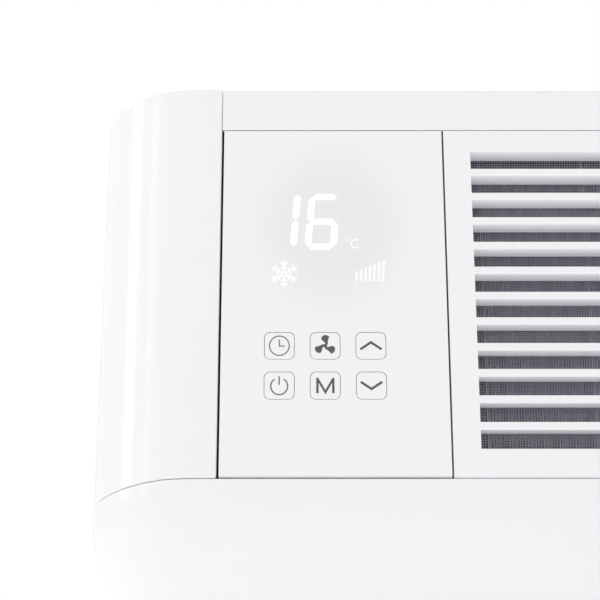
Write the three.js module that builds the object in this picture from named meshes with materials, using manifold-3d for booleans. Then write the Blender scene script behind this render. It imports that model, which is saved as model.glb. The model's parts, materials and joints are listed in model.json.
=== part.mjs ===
// Window air conditioner, in millimetres: +X right, +Z up, front facing -Y.
// The origin is at the middle of the footprint, on the surface that the rubber feet stand on.

import * as THREE from 'three';
import { mergeVertices } from 'three/addons/utils/BufferGeometryUtils.js';
import Module from 'manifold-3d';

const wasm = await Module();
wasm.setup();

// ---------------------------------------------------------------- driving dimensions

// Whole unit
const WIDTH = 500;
const DEPTH = 420;
const HEIGHT = 318;
const FRONT_DEPTH = 120; // moulded section on the room side
const WALL = 2.5; // moulded plastic wall
const SHEET = 1.2; // folded sheet steel
const FIT = 0.3; // gap between pieces that touch
const BITE = 0.5; // overlap of two solids that are joined into one
const PAST = 1; // how far a cutting solid runs past a face

// End caps
const CAP_WIDTH = 71.6; // outer side to the panel gap
const CAP_CORNER_X = 55.4; // plan corner, a quarter ellipse
const CAP_CORNER_Y = 48.8;
const CAP_TOP_DROP = 8.5; // fall of the top towards the side
const CAP_SEAM_DROP = 11.3; // fall of the chin seam towards the side
const CAP_RETURN = 14; // wall beside the panels, from the face back
const CORNER_STEPS = 7;

// Front panels
const STRIP_HEIGHT = 25.4; // front lip of the top cover
const STRIP_GAP = 0.5; // line between the top cover and the panels
const CAP_PANEL_GAP = 1.3; // dark line between an end cap and a panel
const CAP_STRIP_GAP = 0.2;
const PANEL_PANEL_GAP = 1;
const FASCIA_WIDTH = 124.2;
const PANEL_RIM = 6; // return flange round the back of each panel
const RIM_WALL = 2;
const DEEP_RIM_LOW = 12.3; // deeper rim that holds the boards, above the fascia's bottom edge

// Chin
const CHIN_BOTTOM = 23; // underside above the floor
const CHIN_TOP = 93.3;
const CHIN_GAP = 0.4; // line between the chin and the panels
const CHIN_LIP = 1.2; // thin upper edge of the chin, which the turning door passes behind
const CHIN_LIP_HEIGHT = 1.5;
const CHIN_ROUND_IN = 45; // lower rounding, inwards
const CHIN_ROUND_UP = 47; // lower rounding, upwards
const ROUND_STEPS = 5;

// Keys and boards
const KEY_WIDTH = 16.2;
const KEY_HEIGHT = 14.9;
const KEY_CORNER = 3;
const KEY_GAP = 0.25;
const KEY_TRAVEL = 0.6;
const KEY_LIP = 1.2; // flange that keeps the key behind the fascia
const KEY_PITCH_X = 25;
const KEY_PITCH_Z = 22.1;
const KEY_LEFT = 32; // first key centre from the fascia's left edge
const KEY_LOW = 50; // lower key row above the fascia's bottom edge
const BOARD = 1.6; // printed board
const SWITCH = 6; // tact switch, square
const SWITCH_HEIGHT = 4;
const DISPLAY_WIDTH = 78;
const DISPLAY_MARGIN = 8;

// Intake grille
const SLOT_HEIGHT = 10.2;
const SLOT_PITCH = 14.51;
const SLOT_SIDE = 15; // solid border beside the slots
const SLOT_TOP = 13; // solid border above the slots
const SLOT_BOTTOM = 15.6;
const SLAT_DEPTH = 14;
const SLAT_BORDER = 3; // frame that carries the deep slats
const HINGE_IN = 9; // hinge pin behind the face
const HINGE_UP = 7.3; // hinge pin above the panel's bottom edge
const HINGE_PIN = 1.8;
const HINGE_REACH = 3;
const PANEL_ROUND = 2.5; // bottom edge of both panels

// Air filter
const FILTER = 2.6;
const FILTER_BEHIND = 1.9; // clear space behind the slats
const FILTER_EDGE = 6; // frame beyond the slots
const FILTER_FRAME = 8;
const FILTER_WEB = 1;
const RAIL_LIP = 1.6;
const RAIL_GRIP = 2.6; // overlap of a rail on the filter's edge

// Inner front frame
const FRAME_WALL = 3.6;
const LEDGE_DROP = 3.3; // frame ledge below the top of the chin
const LEDGE = 4;
const FLANGE = 3;
const FRAME_LIP = 2; // reach of the hinge ear behind the slats
const EAR_RISE = 4; // hinge ear above the pin
const SADDLE_RISE = 5; // height of the blower's saddle around the housing
const SADDLE_WIDTH = 60;

// Evaporator and drain trough
const EVAPORATOR_DEPTH = 30;
const EVAPORATOR_BEHIND = 5; // clear space behind the filter
const EVAPORATOR_TOP = 12; // clear space below the top cover
const TROUGH_HEIGHT = 14;

// Blower, on the shaft that runs front to back
const AXIS_FROM_GRILLE = 0; // sideways offset from the middle of the slots
const BLOWER_RADIUS = 75;
const BLOWER_WIDTH = 40;
const BLOWER_INNER = 60;
const BLOWER_BLADES = 14;
const HOUSING_RADIUS = 95;
const HOUSING_DEPTH = 54;
const HOUSING_BEHIND = 4; // clear space behind the evaporator
const HOUSING_TOP = 32; // mouth of the housing below the top of the unit
const INLET_RADIUS = 58;
const SHAFT_RADIUS = 4;
const SHAFT_OPENING = 12; // hole around the shaft in the housing and the bulkhead
const HUB_RADIUS = 12;

// Outlet in the top cover
const LOUVRES = 3;
const LOUVRE_CHORD = 14;
const LOUVRE_THICK = 1.6;
const LOUVRE_LOW = 9; // pivot below the top of the unit
const LOUVRE_PIN = 1.5;
const CHEEK = 2.5; // end plates that hold the louvres
const CHEEK_DROP = 20;
const VANES = 5;
const VANE_HEIGHT = 20;
const VANE_THICK = 1.4;
const VANE_LOW = 48; // pivot below the top of the unit
const VANE_PIN = 1.5;
const TANG_WIDTH = 5;
const TANG_DROP = 6.5;
const LINK_THICK = 2;
const LINK_PLAY = 1; // each side of a tang, so that it can tilt
const LINK_LEVER = 13.5; // link below the vanes' pivots
const LINK_EDGE = 6.5;

// Motor, bulkhead and outdoor fan
const BULKHEAD_BEHIND = 6; // clear space behind the moulded front
const MOTOR_RADIUS = 42;
const MOTOR_LENGTH = 60;
const MOTOR_BEHIND = 14; // clear space behind the bulkhead
const FAN_RADIUS = 92;
const FAN_HUB = 22;
const FAN_WIDTH = 26;
const FAN_BLADES = 5;
const FAN_CLEAR = 5; // running gap to the shroud
const SLINGER = 2.5;
const SHROUD_RING = 30;

// Condenser and rear guard
const CONDENSER_DEPTH = 34;
const CONDENSER_REAR = 12; // clear space in front of the guard
const CONDENSER_SIDE = 14;
const GUARD = 8;
const GUARD_BORDER = 14;
const GUARD_BAR = 5;
const GUARD_PITCH = 26;

// Cabinet and base
const CABINET_SIDE = 25; // step in from the front section's side
const CABINET_TOP = 18; // step down from the top of the front section
const FOOT_HEIGHT = 8;
const FOOT_RADIUS = 13;
const FOOT_INSET = 34;
const PAN = 1.6;
const PAN_LIP = 22;
const VENT_HEIGHT = 5;
const VENT_LENGTH = 62;
const VENT_PITCH = 14;
const VENT_ROWS = 6;
const VENT_GAP = 14; // between the two columns
const VENT_REAR = 24; // behind the rear column
const SCREW_HEAD = 4.5;
const SCREW_HEAD_HEIGHT = 2;
const SCREW_RADIUS = 2;
const SCREW_LENGTH = 9;
const SCREW_UP = 12; // above the underside of the pan
const SCREW_INSET = 26; // from the cabinet's front and rear edges

// Compressor group
const COMPRESSOR_RADIUS = 54;
const COMPRESSOR_HEIGHT = 170;
const COMPRESSOR_FROM_SIDE = 84; // centre, from the cabinet's left side
const COMPRESSOR_BEHIND = 72; // centre, behind the bulkhead
const GROMMET = 12;
const GROMMET_RADIUS = 9;
const GROMMET_BORE = 4;
const PLATE = 3; // mounting feet of the compressor
const PLATE_REACH = 66;
const ACCUMULATOR_RADIUS = 17;
const ACCUMULATOR_HEIGHT = 100;
const PIPE = 4; // radius of the suction and discharge pipes
const CAPILLARY = 1.5;
const CAPILLARY_TURNS = 3;
const CAPILLARY_RADIUS = 16;
const CAPILLARY_DROP = 7.5; // fall of each turn

// Electrics
const BOX_DEPTH = 70;
const BOX_BEHIND = 17; // behind the front face
const BOX_WALL = 2;
const BOX_BELOW = 52; // clear space below the top of the panels, for the pipes
const CAPACITOR_RADIUS = 20;
const CAPACITOR_HEIGHT = 72;
const GLAND_RADIUS = 9;
const GLAND_BORE = 4;
const GLAND_NECK = 6.5;

// ---------------------------------------------------------------- derived places

const LEFT = -WIDTH / 2;
const FRONT = -DEPTH / 2;
const REAR = DEPTH / 2;
const FRONT_BACK = FRONT + FRONT_DEPTH;
const CAP_INNER = LEFT + CAP_WIDTH;
const CAP_TANGENT = LEFT + CAP_CORNER_X;

const PANEL_BOTTOM = CHIN_TOP + CHIN_GAP;
const PANEL_TOP = HEIGHT - STRIP_HEIGHT - STRIP_GAP;
const FASCIA_LEFT = CAP_INNER + CAP_PANEL_GAP;
const FASCIA_RIGHT = FASCIA_LEFT + FASCIA_WIDTH;
const DOOR_LEFT = FASCIA_RIGHT + PANEL_PANEL_GAP;
const DOOR_RIGHT = -FASCIA_LEFT;
const PANEL_BACK = FRONT + WALL;

const SLOT_LEFT = DOOR_LEFT + SLOT_SIDE;
const SLOT_RIGHT = DOOR_RIGHT - SLOT_SIDE;
const SLOT_ZONE = PANEL_TOP - SLOT_TOP - PANEL_BOTTOM - SLOT_BOTTOM;
const SLATS = SLOT_PITCH - SLOT_HEIGHT;
const SLOTS = Math.round((SLOT_ZONE + SLATS) / SLOT_PITCH);
const SLOT_STEP = (SLOT_ZONE + SLATS) / SLOTS;
const HINGE_Y = FRONT + HINGE_IN;
const HINGE_Z = PANEL_BOTTOM + HINGE_UP;

const FILTER_FRONT = FRONT + SLAT_DEPTH + FILTER_BEHIND;
const FILTER_BACK = FILTER_FRONT + FILTER;
const FILTER_LEFT = SLOT_LEFT - FILTER_EDGE;
const FILTER_RIGHT = SLOT_RIGHT + FILTER_EDGE;

const LEDGE_TOP = CHIN_TOP - LEDGE_DROP;
const FRAME_FRONT = FRONT + PANEL_RIM + FIT;
const FRAME_LEFT = FASCIA_LEFT;
const FRAME_RIGHT = -FASCIA_LEFT;
const FRAME_TOP = HEIGHT - WALL - FIT;
const MIDDLE_X = (FASCIA_RIGHT + DOOR_LEFT) / 2;

const AXIS_X = (SLOT_LEFT + SLOT_RIGHT) / 2 + AXIS_FROM_GRILLE;
const PAN_BOTTOM = FOOT_HEIGHT;
const PAN_TOP = PAN_BOTTOM + PAN;
const CABINET_LEFT = LEFT + CABINET_SIDE;
const CABINET_RIGHT = -CABINET_LEFT;
const CABINET_ROOF = HEIGHT - CABINET_TOP;
const AXIS_Z = (PAN_TOP + CABINET_ROOF) / 2;

const TROUGH_BOTTOM = LEDGE_TOP + FIT;
const EVAPORATOR_FRONT = FILTER_BACK + EVAPORATOR_BEHIND;
const EVAPORATOR_BACK = EVAPORATOR_FRONT + EVAPORATOR_DEPTH;
const EVAPORATOR_BASE = TROUGH_BOTTOM + BOX_WALL + FIT;
const EVAPORATOR_ROOF = HEIGHT - STRIP_HEIGHT - EVAPORATOR_TOP;
const EVAPORATOR_LEFT = FILTER_LEFT + 4;
const EVAPORATOR_RIGHT = FILTER_RIGHT - 4;

const HOUSING_FRONT = EVAPORATOR_BACK + HOUSING_BEHIND;
const HOUSING_BACK = HOUSING_FRONT + HOUSING_DEPTH;
const HOUSING_MOUTH = HEIGHT - HOUSING_TOP;
const BULKHEAD_FRONT = Math.max(HOUSING_BACK, FRONT_BACK) + BULKHEAD_BEHIND;
const BULKHEAD_BACK = BULKHEAD_FRONT + SHEET;
const MOTOR_FRONT = BULKHEAD_BACK + MOTOR_BEHIND;
const MOTOR_BACK = MOTOR_FRONT + MOTOR_LENGTH;

const GUARD_FRONT = REAR - GUARD;
const CONDENSER_BACK = GUARD_FRONT - CONDENSER_REAR;
const CONDENSER_FRONT = CONDENSER_BACK - CONDENSER_DEPTH;
const FAN_BACK = CONDENSER_FRONT - 14;
const FAN_FRONT = FAN_BACK - FAN_WIDTH;
const SHROUD_BACK = CONDENSER_FRONT - FIT;
const SHROUD_FRONT = SHROUD_BACK - SHROUD_RING;

const OUTLET_LEFT = AXIS_X - HOUSING_RADIUS + WALL;
const OUTLET_RIGHT = AXIS_X + HOUSING_RADIUS - WALL;
const OUTLET_FRONT = HOUSING_FRONT + WALL;
const OUTLET_BACK = HOUSING_BACK - WALL;

const COMPRESSOR_X = CABINET_LEFT + COMPRESSOR_FROM_SIDE;
const COMPRESSOR_Y = BULKHEAD_BACK + COMPRESSOR_BEHIND;
const PLATE_BOTTOM = PAN_TOP + FIT + GROMMET + FIT;
const COMPRESSOR_BASE = PLATE_BOTTOM + PLATE;
const COMPRESSOR_TOP = COMPRESSOR_BASE + COMPRESSOR_HEIGHT;

// ---------------------------------------------------------------- materials

const MATERIALS = {
  white: new THREE.MeshStandardMaterial({ color: 0xf4f4f5, roughness: 0.28, metalness: 0 }),
  satin: new THREE.MeshStandardMaterial({ color: 0xf2f2f3, roughness: 0.45, metalness: 0 }),
  inner: new THREE.MeshStandardMaterial({ color: 0xd9dade, roughness: 0.6, metalness: 0 }),
  mesh: new THREE.MeshStandardMaterial({ color: 0x55565e, roughness: 0.8, metalness: 0 }),
  fins: new THREE.MeshStandardMaterial({ color: 0xb9bec4, roughness: 0.35, metalness: 0.9 }),
  board: new THREE.MeshStandardMaterial({ color: 0x23563a, roughness: 0.5, metalness: 0 }),
  steel: new THREE.MeshStandardMaterial({ color: 0xe6e7e8, roughness: 0.5, metalness: 0.2 }),
  zinc: new THREE.MeshStandardMaterial({ color: 0x9ea2a6, roughness: 0.4, metalness: 0.9 }),
  dark: new THREE.MeshStandardMaterial({ color: 0x2b2c2f, roughness: 0.55, metalness: 0.1 }),
  foam: new THREE.MeshStandardMaterial({ color: 0xe9e7e0, roughness: 0.9, metalness: 0 }),
  copper: new THREE.MeshStandardMaterial({ color: 0xb5714a, roughness: 0.35, metalness: 0.95 }),
  rubber: new THREE.MeshStandardMaterial({ color: 0x222325, roughness: 0.9, metalness: 0 }),
};

// ---------------------------------------------------------------- geometry helpers

// A closed mesh as a solid that can be cut and joined.
function solid(geometry) {
  const bare = geometry.clone();
  bare.deleteAttribute('normal');
  bare.deleteAttribute('uv');
  const merged = mergeVertices(bare, 1e-4);
  const mesh = new wasm.Mesh({
    numProp: 3,
    vertProperties: new Float32Array(merged.attributes.position.array),
    triVerts: new Uint32Array(merged.index.array),
  });
  return new wasm.Manifold(mesh);
}

function geometryOf(body) {
  const mesh = body.getMesh();
  const geometry = new THREE.BufferGeometry();
  geometry.setAttribute('position', new THREE.BufferAttribute(mesh.vertProperties, 3));
  geometry.setIndex(new THREE.BufferAttribute(mesh.triVerts, 1));
  geometry.computeVertexNormals();
  return geometry;
}

function join(...bodies) {
  return bodies.reduce((whole, body) => whole.add(body));
}

function cut(body, ...tools) {
  return tools.reduce((whole, tool) => whole.subtract(tool), body);
}

function box(x0, x1, y0, y1, z0, z1) {
  const geometry = new THREE.BoxGeometry(x1 - x0, y1 - y0, z1 - z0);
  return solid(geometry.translate((x0 + x1) / 2, (y0 + y1) / 2, (z0 + z1) / 2));
}

// A shape drawn in (x, z), extruded from y0 to y1.
function prismY(shape, y0, y1, curveSegments = 8) {
  const geometry = new THREE.ExtrudeGeometry(shape, { depth: y1 - y0, bevelEnabled: false, curveSegments });
  return solid(geometry.rotateX(Math.PI / 2).translate(0, y1, 0));
}

// A shape drawn in (x, y), extruded from z0 to z1.
function prismZ(shape, z0, z1, curveSegments = 8) {
  const geometry = new THREE.ExtrudeGeometry(shape, { depth: z1 - z0, bevelEnabled: false, curveSegments });
  return solid(geometry.translate(0, 0, z0));
}

// A shape drawn in (y, z), extruded from x0 to x1.
function prismX(shape, x0, x1, curveSegments = 8) {
  const geometry = new THREE.ExtrudeGeometry(shape, { depth: x1 - x0, bevelEnabled: false, curveSegments });
  const turn = new THREE.Matrix4().set(0, 0, 1, x0, 1, 0, 0, 0, 0, 1, 0, 0, 0, 0, 0, 1);
  return solid(geometry.applyMatrix4(turn));
}

function rodX(radius, x0, x1, y, z, sides = 16) {
  const geometry = new THREE.CylinderGeometry(radius, radius, x1 - x0, sides);
  return solid(geometry.rotateZ(Math.PI / 2).translate((x0 + x1) / 2, y, z));
}

function rodY(radius, y0, y1, x, z, sides = 16) {
  const geometry = new THREE.CylinderGeometry(radius, radius, y1 - y0, sides);
  return solid(geometry.translate(x, (y0 + y1) / 2, z));
}

function rodZ(radius, z0, z1, x, y, sides = 16) {
  const geometry = new THREE.CylinderGeometry(radius, radius, z1 - z0, sides);
  return solid(geometry.rotateX(Math.PI / 2).translate(x, y, (z0 + z1) / 2));
}

// A profile of [radius, height] pairs turned about an upright axis at (x, y).
function lathe(profile, x, y, sides = 24) {
  const points = profile.map(([radius, height]) => new THREE.Vector2(radius, height));
  const geometry = new THREE.LatheGeometry(points, sides).rotateX(Math.PI / 2);
  return solid(geometry.translate(x, y, 0));
}

function rectangle(x0, x1, z0, z1) {
  return polygon([[x0, z0], [x1, z0], [x1, z1], [x0, z1]]);
}

function polygon(points) {
  return new THREE.Shape(points.map(([x, y]) => new THREE.Vector2(x, y)));
}

function roundedRectangle(width, height, radius, x, z) {
  const shape = new THREE.Shape();
  const right = x + width / 2;
  const top = z + height / 2;
  const left = x - width / 2;
  const bottom = z - height / 2;
  shape.absarc(right - radius, top - radius, radius, 0, Math.PI / 2);
  shape.absarc(left + radius, top - radius, radius, Math.PI / 2, Math.PI);
  shape.absarc(left + radius, bottom + radius, radius, Math.PI, 1.5 * Math.PI);
  shape.absarc(right - radius, bottom + radius, radius, 1.5 * Math.PI, 2 * Math.PI);
  return shape;
}

function tube(points, radius, steps, sides = 8) {
  const section = new THREE.Shape();
  for (let i = 0; i < sides; i += 1) {
    const angle = (2 * Math.PI * i) / sides;
    const x = radius * Math.cos(angle);
    const y = radius * Math.sin(angle);
    if (i === 0) section.moveTo(x, y);
    else section.lineTo(x, y);
  }
  section.closePath();
  const path = new THREE.CatmullRomCurve3(points.map((p) => new THREE.Vector3(...p)), false, 'centripetal');
  return solid(new THREE.ExtrudeGeometry(section, { steps, bevelEnabled: false, extrudePath: path }));
}

function mirrorX(body) {
  return body.mirror([1, 0, 0]);
}

const unit = new THREE.Group();

// Adds a piece; its mesh is centred on its own place, which the mesh's position gives back.
function piece(name, body, material) {
  const geometry = geometryOf(body);
  geometry.computeBoundingBox();
  const centre = geometry.boundingBox.getCenter(new THREE.Vector3());
  geometry.translate(-centre.x, -centre.y, -centre.z);
  const mesh = new THREE.Mesh(geometry, MATERIALS[material]);
  mesh.name = name;
  mesh.position.copy(centre);
  unit.add(mesh);
}

// ---------------------------------------------------------------- outline of the moulded front

// Sines and cosines along the plan corner, from the front face round to the side.
const CORNER = Array.from({ length: CORNER_STEPS + 1 }, (_, i) => {
  const angle = (Math.PI / 2) * (i / CORNER_STEPS);
  return { s: Math.sin(angle), c: Math.cos(angle) };
});

// Left half of the plan outline, from the front face to the back edge.
function planPoints(inset, innerX, back) {
  const corner = CORNER.map(({ s, c }) => [
    CAP_TANGENT - (CAP_CORNER_X - inset) * s,
    FRONT + CAP_CORNER_Y - (CAP_CORNER_Y - inset) * c,
  ]);
  return [[innerX, FRONT + inset], ...corner, [LEFT + inset, back]];
}

// Front-view outline of an end cap between its seam and its falling top.
function capProfile(innerX, top, bottom, outer) {
  const edge = (height, drop) => [
    [innerX, height],
    ...CORNER.map(({ s }) => [CAP_TANGENT - CAP_CORNER_X * s, height - drop * s * s]),
    [outer, height - drop],
  ];
  return polygon([...edge(top, CAP_TOP_DROP).reverse(), ...edge(bottom, CAP_SEAM_DROP)]);
}

function endCap() {
  const outerPlan = polygon([...planPoints(0, CAP_INNER, FRONT_BACK), [CAP_INNER, FRONT_BACK]]);
  const reach = 20;
  const innerPlan = polygon([
    ...planPoints(WALL, CAP_INNER + reach, FRONT_BACK + reach),
    [CAP_INNER + reach, FRONT_BACK + reach],
  ]);
  const seam = PANEL_BOTTOM - CHIN_GAP + CAP_STRIP_GAP;
  const outside = prismZ(outerPlan, 0, HEIGHT + reach)
    .intersect(prismY(capProfile(CAP_INNER, HEIGHT, seam, LEFT - PAST), FRONT - PAST, FRONT_BACK + PAST));
  const inside = prismZ(innerPlan, 0, HEIGHT + reach)
    .intersect(prismY(
      capProfile(CAP_INNER + reach, HEIGHT - WALL, 0, LEFT - PAST), FRONT - PAST, FRONT_BACK + reach,
    ));
  const returnWall = box(
    CAP_INNER - RIM_WALL, CAP_INNER, FRONT + PAST, FRONT + CAP_RETURN, seam, HEIGHT - PAST,
  );
  return cut(outside, inside).add(returnWall.intersect(outside));
}

// A closed loft through plan outlines that share the front section's symmetric shape.
// Each level is a list of [x, y, z] from the middle of the front round to the back left.
function symmetricLoft(levels) {
  const count = levels[0].length;
  const positions = [];
  levels.forEach((level) => {
    level.forEach(([x, y, z]) => positions.push(x, y, z));
    level.forEach(([x, y, z]) => positions.push(-x, y, z));
  });
  const left = (k, i) => k * 2 * count + i;
  const right = (k, i) => left(k, i) + count;
  const faces = [];
  const quad = (a, b, c, d) => faces.push(a, c, b, a, d, c);
  const last = levels.length - 1;
  for (let k = 0; k < last; k += 1) {
    for (let i = 0; i < count - 1; i += 1) {
      quad(left(k, i), left(k + 1, i), left(k + 1, i + 1), left(k, i + 1));
      quad(right(k, i), right(k, i + 1), right(k + 1, i + 1), right(k + 1, i));
    }
    quad(left(k, 0), right(k, 0), right(k + 1, 0), left(k + 1, 0));
    quad(left(k, count - 1), left(k + 1, count - 1), right(k + 1, count - 1), right(k, count - 1));
  }
  for (let i = 0; i < count - 1; i += 1) {
    quad(left(0, i), left(0, i + 1), right(0, i + 1), right(0, i));
    quad(left(last, i), right(last, i), right(last, i + 1), left(last, i + 1));
  }
  const geometry = new THREE.BufferGeometry();
  geometry.setAttribute('position', new THREE.Float32BufferAttribute(positions, 3));
  geometry.setIndex(faces);
  return solid(geometry);
}

// One level of the chin: drop is the fall of its edge towards the sides.
function chinLevel(inset, z, drop, back) {
  const fall = [0, ...CORNER.map(({ s }) => s * s), 1];
  return planPoints(inset, CAP_INNER, back).map(([x, y], i) => [x, y, z - drop * fall[i]]);
}

function chinShell() {
  const roundTop = CHIN_BOTTOM + CHIN_ROUND_UP;
  const levels = (inset, floor, top, drop, back) => {
    const rings = [chinLevel(inset, top, drop, back)];
    for (let k = 0; k <= ROUND_STEPS; k += 1) {
      const angle = (Math.PI / 2) * (k / ROUND_STEPS);
      const inwards = inset + (CHIN_ROUND_IN - inset) * (1 - Math.cos(angle));
      rings.push(chinLevel(inwards, roundTop - (roundTop - floor) * Math.sin(angle), 0, back));
    }
    return rings;
  };
  const outside = symmetricLoft(levels(0, CHIN_BOTTOM, CHIN_TOP, CAP_SEAM_DROP, FRONT_BACK));
  const inside = symmetricLoft(levels(WALL, CHIN_BOTTOM + WALL, CHIN_TOP + 20, 0, FRONT_BACK + 5));
  const glandHole = rodZ(GLAND_NECK + FIT, CHIN_BOTTOM - PAST, CHIN_BOTTOM + WALL + PAST, GLAND_X, GLAND_Y);
  const rebate = box(
    CAP_INNER, -CAP_INNER, FRONT + CHIN_LIP, FRONT + WALL + PAST,
    CHIN_TOP - CHIN_LIP_HEIGHT, CHIN_TOP + PAST,
  );
  return cut(outside, inside, glandHole, rebate);
}

const GLAND_X = FRAME_RIGHT - 20;
const GLAND_Y = FRONT_BACK - 34;

piece('left_end_cap', endCap(), 'white');
piece('right_end_cap', cut(mirrorX(endCap()), rodX(
  HINGE_PIN + FIT, DOOR_RIGHT, DOOR_RIGHT + CAP_PANEL_GAP + 2 * RIM_WALL, HINGE_Y, HINGE_Z, 12,
)), 'white');
piece('chin_shell', chinShell(), 'white');

// ---------------------------------------------------------------- top cover with the air outlet

function topCover() {
  const left = CAP_INNER + CAP_STRIP_GAP;
  const nose = 3;
  const section = new THREE.Shape();
  section.moveTo(FRONT, HEIGHT - STRIP_HEIGHT);
  section.lineTo(FRONT + WALL, HEIGHT - STRIP_HEIGHT);
  section.lineTo(FRONT + WALL, HEIGHT - WALL);
  section.lineTo(FRONT_BACK, HEIGHT - WALL);
  section.lineTo(FRONT_BACK, HEIGHT);
  section.lineTo(FRONT + nose, HEIGHT);
  section.absarc(FRONT + nose, HEIGHT - nose, nose, Math.PI / 2, Math.PI);
  section.closePath();
  const cover = prismX(section, left, -left, 4);
  const cheek = (x) => box(x, x + CHEEK, OUTLET_FRONT, OUTLET_BACK, HEIGHT - CHEEK_DROP, HEIGHT - PAST);
  const outlet = box(OUTLET_LEFT, OUTLET_RIGHT, OUTLET_FRONT, OUTLET_BACK, HEIGHT - 2 * WALL, HEIGHT + PAST);
  const filterSlot = box(
    FILTER_LEFT - FIT, FILTER_RIGHT + FIT, FILTER_FRONT - FIT, FILTER_BACK + FIT,
    HEIGHT - 2 * WALL, HEIGHT + PAST,
  );
  const bores = LOUVRE_YS.map((y) => rodX(
    LOUVRE_PIN + FIT, OUTLET_LEFT - 2 * CHEEK, OUTLET_RIGHT + 2 * CHEEK, y, HEIGHT - LOUVRE_LOW, 12,
  ));
  const opened = cut(cover, outlet, filterSlot);
  return cut(join(opened, cheek(OUTLET_LEFT - CHEEK), cheek(OUTLET_RIGHT)), ...bores);
}

const LOUVRE_STEP = (OUTLET_BACK - OUTLET_FRONT) / LOUVRES;
const LOUVRE_YS = Array.from({ length: LOUVRES }, (_, i) => OUTLET_FRONT + LOUVRE_STEP * (i + 0.5));

// A louvre blade lies nearly flat in the outlet and turns on its two end pins.
function louvre(y) {
  const z = HEIGHT - LOUVRE_LOW;
  const blade = new THREE.Shape();
  const half = LOUVRE_CHORD / 2;
  blade.moveTo(y - half, z);
  blade.quadraticCurveTo(y, z + LOUVRE_THICK + PAST, y + half, z);
  blade.quadraticCurveTo(y, z - LOUVRE_THICK, y - half, z);
  const pins = rodX(LOUVRE_PIN, OUTLET_LEFT - CHEEK + FIT, OUTLET_RIGHT + CHEEK - FIT, y, z, 12);
  return join(prismX(blade, OUTLET_LEFT + FIT, OUTLET_RIGHT - FIT, 4), pins);
}

piece('top_cover', topCover(), 'white');
LOUVRE_YS.forEach((y, i) => piece(`louvre_${i + 1}`, louvre(y), 'white'));

// ---------------------------------------------------------------- control fascia, keys and boards

const KEYS = ['timer_key', 'fan_key', 'up_key', 'power_key', 'mode_key', 'down_key'].map((name, i) => ({
  name,
  x: FASCIA_LEFT + KEY_LEFT + KEY_PITCH_X * (i % 3),
  z: PANEL_BOTTOM + KEY_LOW + (i < 3 ? KEY_PITCH_Z : 0),
}));
const LIP_BACK = PANEL_BACK + FIT + KEY_LIP;
const SWITCH_FRONT = LIP_BACK + KEY_TRAVEL + FIT;
const BOARD_FRONT = SWITCH_FRONT + SWITCH_HEIGHT;
const BOARD_LEFT = FASCIA_LEFT + RIM_WALL + FIT;
const BOARD_RIGHT = FASCIA_RIGHT - RIM_WALL - FIT;
const KEY_BOARD_LOW = PANEL_BOTTOM + KEY_LOW - KEY_HEIGHT;
const KEY_BOARD_HIGH = PANEL_BOTTOM + KEY_LOW + KEY_PITCH_Z + KEY_HEIGHT;

// Rounded lower edge of a panel, which turns back into its rim.
function lowerEdge(left, right) {
  const edge = new THREE.Shape();
  edge.moveTo(FRONT, PANEL_BOTTOM + PANEL_ROUND);
  edge.absarc(FRONT + PANEL_ROUND, PANEL_BOTTOM + PANEL_ROUND, PANEL_ROUND, Math.PI, 1.5 * Math.PI);
  edge.lineTo(FRONT + PANEL_RIM, PANEL_BOTTOM);
  edge.lineTo(FRONT + PANEL_RIM, PANEL_BOTTOM + RIM_WALL);
  edge.lineTo(PANEL_BACK, PANEL_BOTTOM + PANEL_ROUND);
  edge.closePath();
  return prismX(edge, left, right, 3);
}

function panelRim(left, right, bottom, top) {
  const ring = rectangle(left, right, bottom, top);
  ring.holes.push(rectangle(left + RIM_WALL, right - RIM_WALL, bottom + RIM_WALL, top - RIM_WALL));
  return prismY(ring, PANEL_BACK - BITE, FRONT + PANEL_RIM);
}

function controlFascia() {
  const face = rectangle(FASCIA_LEFT, FASCIA_RIGHT, PANEL_BOTTOM + PANEL_ROUND, PANEL_TOP);
  KEYS.forEach(({ x, z }) => {
    face.holes.push(roundedRectangle(
      KEY_WIDTH + 2 * KEY_GAP, KEY_HEIGHT + 2 * KEY_GAP, KEY_CORNER + KEY_GAP, x, z,
    ));
  });
  const deepRim = [BOARD_LEFT - FIT - RIM_WALL, BOARD_RIGHT + FIT].map((x) => box(
    x, x + RIM_WALL, PANEL_BACK - BITE, BOARD_FRONT + BOARD,
    PANEL_BOTTOM + DEEP_RIM_LOW, PANEL_TOP - 2 * RIM_WALL,
  ));
  const rim = panelRim(FASCIA_LEFT, FASCIA_RIGHT, PANEL_BOTTOM + PANEL_ROUND - RIM_WALL, PANEL_TOP);
  return join(prismY(face, FRONT, PANEL_BACK, 2), lowerEdge(FASCIA_LEFT, FASCIA_RIGHT), rim, ...deepRim);
}

function key({ x, z }) {
  const cap = roundedRectangle(KEY_WIDTH, KEY_HEIGHT, KEY_CORNER, x, z);
  const lip = rectangle(
    x - KEY_WIDTH / 2 - KEY_LIP, x + KEY_WIDTH / 2 + KEY_LIP,
    z - KEY_HEIGHT / 2 - KEY_LIP, z + KEY_HEIGHT / 2 + KEY_LIP,
  );
  return join(prismY(cap, FRONT, LIP_BACK - BITE, 2), prismY(lip, PANEL_BACK + FIT, LIP_BACK));
}

function keyBoard() {
  const board = box(
    BOARD_LEFT, BOARD_RIGHT, BOARD_FRONT, BOARD_FRONT + BOARD, KEY_BOARD_LOW, KEY_BOARD_HIGH,
  );
  const switches = KEYS.map(({ x, z }) => box(
    x - SWITCH / 2, x + SWITCH / 2, SWITCH_FRONT, BOARD_FRONT + BITE, z - SWITCH / 2, z + SWITCH / 2,
  ));
  return join(board, ...switches);
}

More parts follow.
